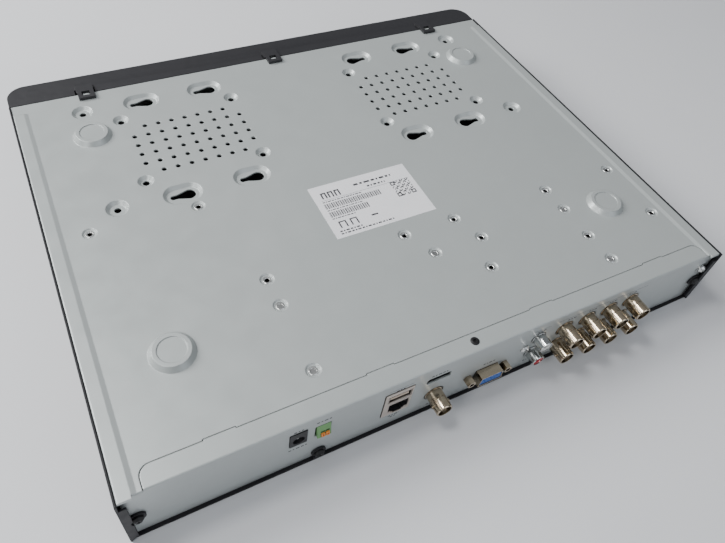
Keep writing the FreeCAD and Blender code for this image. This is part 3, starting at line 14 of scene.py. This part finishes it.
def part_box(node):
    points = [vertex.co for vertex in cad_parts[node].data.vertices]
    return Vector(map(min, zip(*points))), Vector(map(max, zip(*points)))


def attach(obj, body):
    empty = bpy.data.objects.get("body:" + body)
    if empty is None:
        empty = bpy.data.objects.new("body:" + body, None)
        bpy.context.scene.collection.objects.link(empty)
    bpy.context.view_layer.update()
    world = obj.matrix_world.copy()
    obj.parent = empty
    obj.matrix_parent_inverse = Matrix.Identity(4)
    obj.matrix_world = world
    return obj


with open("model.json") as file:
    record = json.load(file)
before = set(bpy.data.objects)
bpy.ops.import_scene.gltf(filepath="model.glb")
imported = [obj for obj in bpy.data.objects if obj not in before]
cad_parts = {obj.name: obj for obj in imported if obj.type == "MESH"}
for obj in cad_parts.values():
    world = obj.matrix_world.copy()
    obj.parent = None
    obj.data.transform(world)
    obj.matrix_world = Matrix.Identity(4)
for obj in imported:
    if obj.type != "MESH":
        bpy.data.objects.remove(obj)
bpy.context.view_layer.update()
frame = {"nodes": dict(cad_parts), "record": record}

MM = 0.001


# ---------------------------------------------------------------- places read from the frame

NODES = frame["nodes"]
BODIES = frame["record"]["behaviour"]["bodies"]
BODY = next(name for name, members in BODIES.items() if "base_plate" in members)
PANEL_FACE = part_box("rear_panel")[1].y
CASE_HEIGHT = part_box("rear_panel")[1].z
LABEL_LOW, LABEL_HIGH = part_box("product_label")


# ---------------------------------------------------------------- shader helpers

NOISE_SPAN = (0.3, 0.7)         # the values that most of a noise lies between
# the painted shade in recesses follows the occlusion between these two values
OPEN_AO, CLOSED_AO = 0.75, 0.25  # occlusion where a recess starts to darken and is darkest
FLAT_POINTINESS = 0.5           # what the pointiness of a flat surface is


class Finish:
    """A Principled material with a few shorthands for its texture nodes."""

    def __init__(self, name, color, roughness, metallic=0.0, coat=0.0, specular=0.5):
        self.material = bpy.data.materials.new(name)
        self.material.use_nodes = True
        self.tree = self.material.node_tree
        self.shader = self.tree.nodes["Principled BSDF"]
        self.set("Base Color", (*color, 1.0))
        self.set("Roughness", roughness)
        self.set("Metallic", metallic)
        self.set("Coat Weight", coat)
        self.set("Specular IOR Level", specular)
        self.height = None
        self.color = (*color, 1.0)
        self.roughness = roughness
        self.place = self.add("ShaderNodeTexCoord").outputs["Object"]

    def set(self, socket, value):
        self.shader.inputs[socket].default_value = value

    def add(self, kind, **settings):
        node = self.tree.nodes.new(kind)
        for key, value in settings.items():
            setattr(node, key, value)
        return node

    def link(self, source, target):
        self.tree.links.new(source, target)

    def stretched(self, scale):
        """Object coordinates, stretched along the axes."""
        mapping = self.add("ShaderNodeMapping")
        mapping.inputs["Scale"].default_value = scale
        self.link(self.place, mapping.inputs["Vector"])
        return mapping.outputs["Vector"]

    def noise(self, size, detail=3.0, place=None, rough=0.5):
        """Noise whose blotches are about this many millimetres across."""
        node = self.add("ShaderNodeTexNoise")
        node.inputs["Scale"].default_value = 1.0 / (size * MM)
        node.inputs["Detail"].default_value = detail
        node.inputs["Roughness"].default_value = rough
        self.link(place or self.place, node.inputs["Vector"])
        return node.outputs["Fac"]

    def cells(self, size):
        """Distance to scattered points about this many millimetres apart."""
        node = self.add("ShaderNodeTexVoronoi")
        node.inputs["Scale"].default_value = 1.0 / (size * MM)
        self.link(self.place, node.inputs["Vector"])
        return node.outputs["Distance"]

    def ramp(self, value, low, high, first, second):
        """Carry a value from the span low to high over to the span first to second."""
        node = self.add("ShaderNodeMapRange")
        self.link(value, node.inputs["Value"])
        settings = (("From Min", low), ("From Max", high), ("To Min", first), ("To Max", second))
        for socket, number in settings:
            node.inputs[socket].default_value = number
        return node.outputs["Result"]

    def tint(self, mask, color):
        """Blend the base colour towards another where the mask is one."""
        node = self.add("ShaderNodeMix", data_type="RGBA")
        self.link(mask, node.inputs["Factor"])
        target = self.shader.inputs["Base Color"]
        if target.is_linked:
            self.link(target.links[0].from_socket, node.inputs["A"])
        else:
            node.inputs["A"].default_value = self.color
        node.inputs["B"].default_value = (*color, 1.0)
        self.link(node.outputs["Result"], target)

    def fleck(self, value, low, high, share, color):
        """Blend in up to a share of another colour as the value goes from low to high."""
        self.tint(self.ramp(value, low, high, 0.0, share), color)

    def vary_roughness(self, value, spread):
        """Let the roughness stray by the spread to both sides."""
        low, high = self.roughness - spread, self.roughness + spread
        self.link(self.ramp(value, *NOISE_SPAN, low, high), self.shader.inputs["Roughness"])

    def bump(self, value, depth, strength=1.0):
        """Relief of the given depth in millimetres."""
        node = self.add("ShaderNodeBump")
        node.inputs["Distance"].default_value = depth * MM
        node.inputs["Strength"].default_value = strength
        self.link(value, node.inputs["Height"])
        if self.height is not None:
            self.link(self.height, node.inputs["Normal"])
        self.height = node.outputs["Normal"]
        self.link(self.height, self.shader.inputs["Normal"])

    def soften(self, radius):
        """Round sharp edges by eye, within the shader."""
        node = self.add("ShaderNodeBevel", samples=4)
        node.inputs["Radius"].default_value = radius * MM
        self.height = node.outputs["Normal"]
        self.link(self.height, self.shader.inputs["Normal"])


def paint_shade_in_recesses(finish, reach, color, strength):
    """Paint shade into the colour of holes and corners, darker where they are more closed in."""
    node = finish.add("ShaderNodeAmbientOcclusion", samples=8)
    node.inputs["Distance"].default_value = reach * MM
    finish.fleck(node.outputs["AO"], OPEN_AO, CLOSED_AO, strength, color)


def near_edge(finish, reach):
    """A mask that is one along outer edges, where a coat wears first."""
    pointiness = finish.add("ShaderNodeNewGeometry").outputs["Pointiness"]
    return finish.ramp(pointiness, FLAT_POINTINESS, FLAT_POINTINESS + reach, 0.0, 1.0)


# ---------------------------------------------------------------- finishes

def painted_steel(name, color, dark, light):
    """Satin coat over sheet steel: fine orange peel, faint clouds, hair scratches and dust."""
    finish = Finish(name, color, 0.40, metallic=0.3, coat=0.10, specular=0.45)
    finish.soften(0.7)
    finish.fleck(finish.noise(60, 4), 0.35, 0.7, 0.30, dark)
    finish.fleck(finish.noise(9, 5), 0.55, 0.8, 0.12, light)
    streaks = finish.noise(3.0, 6, finish.stretched((0.05, 1.0, 1.0)), 0.65)
    finish.fleck(streaks, 0.62, 0.72, 0.10, light)
    finish.vary_roughness(finish.noise(14, 5), 0.05)
    finish.bump(finish.noise(0.7, 2), 0.008)
    finish.bump(finish.noise(26, 2), 0.03)
    return finish


def case_steel():
    """Pale grey paint with a green cast."""
    middle, dark, light = (0.45, 0.48, 0.475), (0.41, 0.44, 0.435), (0.54, 0.57, 0.56)
    return painted_steel("case_steel", middle, dark, light)


def cover_steel():
    """Black textured powder coat, rubbed a little lighter along its edges."""
    finish = Finish("cover_steel", (0.008, 0.008, 0.010), 0.55, specular=0.28)
    finish.soften(0.4)
    finish.fleck(finish.noise(1.6, 4), 0.5, 0.75, 0.4, (0.015, 0.015, 0.018))
    finish.fleck(near_edge(finish, 0.05), 0.2, 1.0, 0.3, (0.04, 0.04, 0.045))
    finish.vary_roughness(finish.noise(5, 4), 0.05)
    finish.bump(finish.cells(0.55), 0.04, 0.6)
    return finish


def moulded(name, color, grain=0.35, roughness=0.48, light=1.7):
    """Moulded plastic with a spark-eroded grain and faint handling marks."""
    finish = Finish(name, color, roughness, specular=0.45)
    finish.soften(0.15)
    lighter = tuple(min(1.0, part * light + 0.004) for part in color)
    finish.fleck(finish.noise(2.2, 5), 0.5, 0.8, 0.4, lighter)
    finish.vary_roughness(finish.noise(4, 4), 0.05)
    finish.bump(finish.noise(grain, 2), 0.02, 0.8)
    return finish


def plastic_with_painted_shade(name, color, light):
    """Moulded plastic with shade painted into its holes and slots, so that they read nearly black.
    """
    finish = moulded(name, color, light=light)
    # Painted shade: within 3 mm of a wall the colour falls to near black.
    paint_shade_in_recesses(finish, 3.0, tuple(part * 0.06 for part in color), 1.0)
    return finish


def bezel_plastic():
    """Near-black plastic with paler edges and a few specks of dust."""
    finish = moulded("bezel_plastic", (0.009, 0.009, 0.011), grain=0.45, roughness=0.52)
    finish.fleck(near_edge(finish, 0.06), 0.2, 1.0, 0.3, (0.05, 0.05, 0.055))
    finish.fleck(finish.cells(4.5), 0.05, 0.02, 0.4, (0.16, 0.16, 0.16))
    return finish


def glossy(name, color, roughness):
    """Polished plastic, clear or coloured through."""
    finish = Finish(name, color, roughness, coat=0.5, specular=0.5)
    finish.soften(0.1)
    lighter = tuple(min(1.0, part * 1.3 + 0.01) for part in color)
    finish.fleck(finish.noise(3, 4), 0.5, 0.8, 0.4, lighter)
    finish.vary_roughness(finish.noise(6, 5), 0.05)
    finish.bump(finish.noise(2.5, 2), 0.006)
    return finish


def plated(name, color, roughness, tarnish, along=(1.0, 0.06, 1.0)):
    """Plated metal: turning marks around the barrel, soft tarnish, worn bright edges and painted
    shade in its mouths and hollows.
    """
    finish = Finish(name, color, roughness, metallic=1.0)
    finish.soften(0.12)
    finish.fleck(finish.noise(4.0, 3), 0.45, 0.75, 0.4, tarnish)
    bright = tuple(min(1.0, part * 1.35) for part in color)
    finish.fleck(near_edge(finish, 0.05), 0.3, 1.0, 0.6, bright)
    finish.vary_roughness(finish.noise(2.5, 4), 0.04)
    finish.bump(finish.noise(1.2, 2, finish.stretched(along)), 0.001, 0.5)
    # Painted shade: the mouths and hollows of the metal parts darken to a warm near black.
    paint_shade_in_recesses(finish, 5.0, (0.03, 0.025, 0.02), 0.9)
    return finish


def brushed(name, color):
    """Rolled or brushed metal whose marks run lengthwise."""
    tarnish = tuple(part * 0.7 for part in color)
    return plated(name, color, 0.32, tarnish, (0.08, 1.0, 1.0))


def solder_mask():
    """Green board lacquer with faint copper tracks under it."""
    finish = Finish("circuit_board", (0.010, 0.085, 0.035), 0.30, coat=0.4)
    lines = finish.add("ShaderNodeTexWave", wave_type="BANDS", bands_direction="DIAGONAL")
    lines.inputs["Scale"].default_value = 160.0
    lines.inputs["Distortion"].default_value = 5.0
    lines.inputs["Detail"].default_value = 2.0
    finish.link(finish.place, lines.inputs["Vector"])
    finish.fleck(lines.outputs["Fac"], 0.75, 0.8, 0.6, (0.02, 0.15, 0.06))
    finish.fleck(finish.cells(2.4), 0.12, 0.08, 0.8, (0.45, 0.40, 0.22))
    finish.vary_roughness(finish.noise(3, 3), 0.06)
    finish.bump(lines.outputs["Fac"], 0.02, 0.5)
    return finish


def label_film():
    """White printed film with a soft sheen and slight waviness."""
    finish = Finish("label_film", (0.80, 0.80, 0.82), 0.34, coat=0.15)
    finish.fleck(finish.noise(12, 4), 0.4, 0.7, 0.35, (0.72, 0.73, 0.76))
    finish.vary_roughness(finish.noise(5, 4), 0.06)
    finish.bump(finish.noise(8, 3), 0.03, 0.6)
    return finish


def ink(name, color):
    """Printed ink, a little uneven in its cover."""
    finish = Finish(name, color, 0.5)
    lighter = tuple(part + 0.10 for part in color)
    finish.fleck(finish.noise(0.5, 3), 0.5, 0.75, 0.6, lighter)
    finish.bump(finish.noise(0.3, 2), 0.004)
    return finish


def cast_metal(name, color):
    """Dull metal with a fine cast grain."""
    finish = Finish(name, color, 0.4, metallic=0.9)
    finish.soften(0.1)
    darker = tuple(part * 0.7 for part in color)
    finish.fleck(finish.noise(2, 4), 0.5, 0.8, 0.5, darker)
    finish.vary_roughness(finish.noise(2, 4), 0.08)
    finish.bump(finish.noise(0.5, 2), 0.01)
    return finish


NICKEL, NICKEL_TARNISH = (0.50, 0.42, 0.31), (0.30, 0.24, 0.15)
SILVER, SILVER_TARNISH = (0.56, 0.57, 0.56), (0.40, 0.40, 0.38)
GOLD, GOLD_TARNISH = (0.80, 0.58, 0.22), (0.5, 0.34, 0.12)
FINISHES = {
    "case_steel": case_steel(),
    "cover_steel": cover_steel(),
    "bezel_plastic": bezel_plastic(),
    "window_plastic": glossy("window_plastic", (0.008, 0.008, 0.010), 0.10),
    "pipe_plastic": glossy("pipe_plastic", (0.62, 0.66, 0.68), 0.22),
    "connector_nickel": plated("connector_nickel", NICKEL, 0.21, NICKEL_TARNISH),
    "connector_silver": plated("connector_silver", SILVER, 0.16, SILVER_TARNISH),
    "tin_plate": brushed("tin_plate", (0.62, 0.55, 0.49)),
    "zinc_screw": brushed("zinc_screw", (0.66, 0.67, 0.66)),
    "black_screw": moulded("black_screw", (0.005, 0.005, 0.006), grain=0.5, roughness=0.55),
    "gold_contact": plated("gold_contact", GOLD, 0.25, GOLD_TARNISH),
    "black_plastic": moulded("black_plastic", (0.012, 0.012, 0.014)),
    "white_plastic": moulded("white_plastic", (0.72, 0.72, 0.69), light=1.08),
    "beige_plastic": plastic_with_painted_shade("beige_plastic", (0.60, 0.50, 0.40), 1.15),
    "red_plastic": glossy("red_plastic", (0.50, 0.015, 0.03), 0.28),
    "blue_plastic": moulded("blue_plastic", (0.035, 0.13, 0.46), light=1.35),
    "green_plastic": plastic_with_painted_shade("green_plastic", (0.15, 0.33, 0.12), 1.3),
    "orange_plastic": glossy("orange_plastic", (0.85, 0.26, 0.02), 0.30),
    "label_film": label_film(),
    "circuit_board": solder_mask(),
    "chip_epoxy": moulded("chip_epoxy", (0.020, 0.020, 0.021), grain=0.25, roughness=0.55),
    "heat_sink_metal": cast_metal("heat_sink_metal", (0.42, 0.43, 0.45)),
    "capacitor_can": brushed("capacitor_can", (0.66, 0.67, 0.69)),
    "cell_steel": brushed("cell_steel", (0.68, 0.68, 0.67)),
}


def wear(piece, finish):
    """Give a piece this finish and no other."""
    piece.data.materials.clear()
    piece.data.materials.append(finish.material)


for entry in frame["record"]["subparts"]:
    wear(NODES[entry["node"]], FINISHES[entry["material_slot"]])


# ---------------------------------------------------------------- printed marks

INK_DARK = ink("ink_dark", (0.045, 0.045, 0.05))
INK_GREY = ink("ink_grey", (0.13, 0.14, 0.16))
INK_THICK = 0.03 * MM
WORD_GAP = 0.8      # space between dashes, as a share of their height
BAR_WIDTHS = (0.25, 0.50, 0.75)
BAR_GAPS = (0.3, 0.7, 0.5)
TARGET_CELLS = 4    # cells along a side of a corner target


def slab(mesh, low, high):
    """Add a closed thin block between two corners."""
    placed = Matrix.Translation((low + high) / 2) @ Matrix.Diagonal((*(high - low), 1.0))
    made = bmesh.ops.create_cube(mesh, size=1.0)
    bmesh.ops.transform(mesh, matrix=placed, verts=made["verts"])


def printed(name, marks, finish, to_space, body):
    """One piece of thin ink; marks are (left, bottom, right, top) millimetres in print space."""
    mesh = bmesh.new()
    for left, bottom, right, top in marks:
        low = Vector((left * MM, bottom * MM, 0))
        high = Vector((right * MM, top * MM, INK_THICK))
        slab(mesh, low, high)
    mesh.transform(to_space)
    bmesh.ops.recalc_face_normals(mesh, faces=mesh.faces)
    data = bpy.data.meshes.new(name)
    mesh.to_mesh(data)
    mesh.free()
    piece = bpy.data.objects.new(name, data)
    bpy.context.scene.collection.objects.link(piece)
    wear(piece, finish)
    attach(piece, body)


def text_line(left, level, length, height, words):
    """Stand-in for a line of small print: dashes of uneven length."""
    marks, start, count = [], left, 0
    while start < left + length:
        run = words[count % len(words)]
        end = min(start + run, left + length)
        marks.append((start, level, end, level + height))
        start = end + height * WORD_GAP
        count += 1
    return marks


def bar_code(left, level, length, height):
    """Upright bars whose widths and gaps repeat in a simple turn."""
    marks, start, count = [], left, 0
    while start < left + length:
        width = BAR_WIDTHS[count % len(BAR_WIDTHS)]
        marks.append((start, level, min(start + width, left + length), level + height))
        start += width + BAR_GAPS[count % len(BAR_GAPS)]
        count += 1
    return marks


def square_code(left, level, size, cells):
    """A square field of small cells with three corner targets."""
    step = size / cells
    last = cells - 1
    rims = (0, TARGET_CELLS - 1, cells - TARGET_CELLS, last)
    marks = []
    for row in range(cells):
        for column in range(cells):
            first_rows, first_columns = row < TARGET_CELLS, column < TARGET_CELLS
            last_rows, last_columns = last - row < TARGET_CELLS, last - column < TARGET_CELLS
            if (first_rows or last_rows) and first_columns or first_rows and last_columns:
                filled = row in rims or column in rims
            else:
                filled = (row * row + 3 * column + row * column) % 5 in (0, 2)
            if filled:
                x, y = left + column * step, level + row * step
                marks.append((x, y, x + step, y + step))
    return marks


SMALL_WORDS = (1.6, 0.9, 2.1)
LARGE_WORDS = (3.2, 1.8, 4.1, 2.4, 1.2)


def arch(left, level, width, height, thick):
    """A plain open arch: two legs and a bar across the top."""
    right, top = left + width, level + height
    return [(left, level, left + thick, top), (right - thick, level, right, top),
            (left + thick, top - thick, right - thick, top)]


def arch_row(count, left, level, pitch, width, height, thick):
    """Arches side by side at an even pitch."""
    marks = []
    for number in range(count):
        marks += arch(left + pitch * number, level, width, height, thick)
    return marks


LABEL_MARGIN = 4.0
# what is printed, its left edge, how far its foot lies below the sticker's upper
# edge, and then its length, its height and, for a text line, its words
LABEL_ROWS = (
    (text_line, 29, 7.4, 27, 1.5, LARGE_WORDS),
    (text_line, 37, 11.2, 13, 1.3, SMALL_WORDS),
    (text_line, LABEL_MARGIN, 14.6, 27, 0.7, SMALL_WORDS),
    (bar_code, LABEL_MARGIN, 20.2, 39, 4.4),
    (text_line, LABEL_MARGIN, 21.9, 24, 0.7, SMALL_WORDS),
    (bar_code, LABEL_MARGIN, 27.4, 27, 4.4),
    (text_line, LABEL_MARGIN, 29.1, 16, 0.7, SMALL_WORDS),
)
LABEL_FOOT_ROWS = ((4.4, 15), (2.4, 36))    # level above the lower edge, and length
FOOT_HEIGHT = 1.0
# rows of arches, in millimetres from the sticker's lower left corner
UPPER_ARCHES = {"count": 3, "left": 5.5, "pitch": 4.6, "width": 3.6, "height": 5.2, "thick": 1.0}
UPPER_ARCH_DROP = 11.5
LOWER_ARCHES = {"count": 2, "left": 6.0, "pitch": 7.5, "width": 5.0, "height": 5.4, "thick": 0.9}
LOWER_ARCH_LEVEL = 7.2
BOLD_DASH = (28.0, 9.6, 32.5, 10.8)
CODE_SIZE, CODE_CELLS = 13.5, 17
CODE_INSET, CODE_DROP = 17.0, 26.5
RULE_INSET, RULE_TOP, RULE_FOOT = 2.5, 12.7, 12.9


def label_print():
    """Generic marks on the sticker, read from the rear panel's side."""
    turn = Matrix.Translation(LABEL_HIGH) @ Matrix.Rotation(math.pi, 4, "Z")
    width, height = (LABEL_HIGH.x - LABEL_LOW.x) / MM, (LABEL_HIGH.y - LABEL_LOW.y) / MM
    bold = arch_row(level=height - UPPER_ARCH_DROP, **UPPER_ARCHES)
    bold += arch_row(level=LOWER_ARCH_LEVEL, **LOWER_ARCHES)
    bold.append(BOLD_DASH)
    fine = []
    for draw, left, drop, *rest in LABEL_ROWS:
        fine += draw(left, height - drop, *rest)
    for level, length in LABEL_FOOT_ROWS:
        fine += text_line(LABEL_MARGIN, level, length, FOOT_HEIGHT, SMALL_WORDS)
    fine += square_code(width - CODE_INSET, height - CODE_DROP, CODE_SIZE, CODE_CELLS)
    rule = [(LABEL_MARGIN, height - RULE_FOOT, width - RULE_INSET, height - RULE_TOP)]
    printed("label_bold", bold, INK_DARK, turn, BODY)
    printed("label_print", fine, INK_DARK, turn, BODY)
    printed("label_rule", rule, INK_GREY, turn, BODY)


# Print space on the rear panel: X runs to the viewer's right, Y up, Z out of the panel.
PANEL_SPACE = (Matrix.Translation((0, PANEL_FACE, 0)) @ Matrix.Rotation(math.pi, 4, "Z")
               @ Matrix.Rotation(math.pi / 2, 4, "X"))
CAPTION_HEIGHT = 1.0
CAPTION_WORDS = (1.5, 0.9, 2.0)
RULE_THICK = 0.3
# node, above or below it, gap to it and length of the caption in millimetres
CAPTIONS = (
    ("power_jack", 1, 1.0, 5),
    ("power_jack", -1, 4.0, 10),
    ("terminal_block", 1, 1.5, 8),
    ("usb_lan_shell", 1, 0.4, 5),
    ("usb_lan_shell", -1, 2.4, 7),
    ("usb_lan_shell", -1, 4.2, 4),
    ("hdmi_shell", 1, 1.8, 11),
    ("video_out_barrel", -1, 5.6, 5),
    ("vga_shell", 1, 2.0, 8),
    ("audio_barrels", 1, 1.4, 6),
    ("audio_barrels", -1, 4.0, 6),
)
# node, gap above it and length of the rule in millimetres
RULES = (("usb_lan_shell", 2.4, 14), ("audio_barrels", 3.4, 12), ("camera_barrels_upper", 4.6, 70))
CAMERA_COLUMNS = 4
CAMERA_CAPTION_GAP = 2.2
CAMERA_CAPTION_LENGTH = 6


def spot(node, side, gap, height):
    """Middle across and lower edge of a mark beside a node, in print millimetres."""
    low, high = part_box(node)
    level = high.z / MM + gap if side > 0 else low.z / MM - gap - height
    return -(low.x + high.x) / 2 / MM, level


def panel_print():
    """Dashed captions and group rules on the rear panel, seen from behind it."""
    words, rules = [], []
    for node, side, gap, length in CAPTIONS:
        centre, level = spot(node, side, gap, CAPTION_HEIGHT)
        words += text_line(centre - length / 2, level, length, CAPTION_HEIGHT, CAPTION_WORDS)
    for node, gap, length in RULES:
        centre, level = spot(node, 1, gap, RULE_THICK)
        rules.append((centre - length / 2, level, centre + length / 2, level + RULE_THICK))
    low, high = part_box("camera_barrels_upper")
    pitch = (high.x - low.x) / MM / CAMERA_COLUMNS
    level = high.z / MM + CAMERA_CAPTION_GAP
    for column in range(CAMERA_COLUMNS):
        left = -high.x / MM + (column + 0.5) * pitch - CAMERA_CAPTION_LENGTH / 2
        words += text_line(left, level, CAMERA_CAPTION_LENGTH, CAPTION_HEIGHT, CAPTION_WORDS)
    printed("panel_words", words, INK_DARK, PANEL_SPACE, BODY)
    printed("panel_rules", rules, INK_GREY, PANEL_SPACE, BODY)


panel_print()
label_print()


# ---------------------------------------------------------------- floor, light and camera

TABLE_REACH = 3.0       # metres from the middle of the table to each edge
TABLE_LEVEL = -0.0002   # just under the cover, so that the two faces don't flicker


def paper():
    """Pale paper with faint large clouds."""
    finish = Finish("paper", (0.68, 0.69, 0.71), 0.7, specular=0.25)
    finish.fleck(finish.noise(90, 3), 0.35, 0.7, 0.35, (0.65, 0.66, 0.68))
    finish.bump(finish.noise(2.5, 4), 0.02)
    return finish


def table(finish):
    """One flat square that the recorder lies on."""
    data = bpy.data.meshes.new("table")
    sides = ((-1, -1), (1, -1), (1, 1), (-1, 1))
    corners = [(x * TABLE_REACH, y * TABLE_REACH, TABLE_LEVEL) for x, y in sides]
    data.from_pydata(corners, [], [(0, 1, 2, 3)])
    piece = bpy.data.objects.new("table", data)
    bpy.context.scene.collection.objects.link(piece)
    piece.data.materials.append(finish.material)


table(paper())

WHITE, SKY = (1, 1, 1), (0.86, 0.91, 1.0)
# name, place and aim in metres, width in metres, power in watts, and colour
LAMPS = (
    ("key", (1.12, -0.85, 1.05), (0, 0, 0), 1.0, 38, WHITE),
    ("top", (0.6, -0.3, 1.6), (0, 0.1, 0), 0.4, 10, WHITE),
    ("side", (1.1, 0.5, 0.9), (0.1, 0.1, 0), 0.5, 5.5, WHITE),
    ("fill", (-0.7, 1.6, 1.0), (0, 0.1, 0), 1.6, 9.0, SKY),
)


def lamp(name, place, target, size, power, color):
    """A round soft light at a place, turned towards its target."""
    data = bpy.data.lights.new(name, "AREA")
    data.shape = "DISK"
    data.size = size
    data.energy = power
    data.color = color
    lamp_object = bpy.data.objects.new(name, data)
    lamp_object.location = place
    aim = Vector(target) - Vector(place)
    lamp_object.rotation_euler = aim.to_track_quat("-Z", "Y").to_euler()
    bpy.context.scene.collection.objects.link(lamp_object)


for row in LAMPS:
    lamp(*row)

ROOM_COLOR = (0.94, 0.96, 1.0, 1.0)
HORIZON_STRENGTH, OVERHEAD_STRENGTH = 0.12, 0.30


def studio_world():
    """A pale room, brighter overhead than at the horizon."""
    world = bpy.data.worlds.new("studio")
    world.use_nodes = True
    tree = world.node_tree
    background = tree.nodes["Background"]
    background.inputs["Color"].default_value = ROOM_COLOR
    direction = tree.nodes.new("ShaderNodeTexCoord")
    split = tree.nodes.new("ShaderNodeSeparateXYZ")
    rise = tree.nodes.new("ShaderNodeMapRange")
    rise.inputs["To Min"].default_value = HORIZON_STRENGTH
    rise.inputs["To Max"].default_value = OVERHEAD_STRENGTH
    tree.links.new(direction.outputs["Generated"], split.inputs["Vector"])
    tree.links.new(split.outputs["Z"], rise.inputs["Value"])
    tree.links.new(rise.outputs["Result"], background.inputs["Strength"])
    bpy.context.scene.world = world


studio_world()

# The camera looks down over the corner of the rear panel.  Its place is in metres
# and, like the directions of its right and its underside, in the part's frame.
CAMERA_PLACE = Vector((0.16347, 0.26291, 0.28740 + CASE_HEIGHT))
CAMERA_RIGHT = Vector((-0.89036, 0.44438, 0.09888))
CAMERA_DOWN = Vector((0.28272, 0.70998, -0.64498))
SENSOR_WIDTH, FOCAL_LENGTH = 36.0, 32.1676     # millimetres
SHIFT_ACROSS, SHIFT_UP = 0.0156, -0.0338        # shares of the sensor's width
NEAREST = 0.01                                  # metres from the camera


def camera():
    """The one camera, placed by its right-hand and upward directions."""
    data = bpy.data.cameras.new("camera")
    data.sensor_width = SENSOR_WIDTH
    data.lens = FOCAL_LENGTH
    data.shift_x = SHIFT_ACROSS
    data.shift_y = SHIFT_UP
    data.clip_start = NEAREST
    right = CAMERA_RIGHT.normalized()
    up = -CAMERA_DOWN.normalized()
    back = right.cross(up)
    turn = Matrix((right, up, back)).transposed()
    view = bpy.data.objects.new("camera", data)
    view.matrix_world = Matrix.Translation(CAMERA_PLACE) @ turn.to_4x4()
    bpy.context.scene.collection.objects.link(view)
    bpy.context.scene.camera = view


camera()
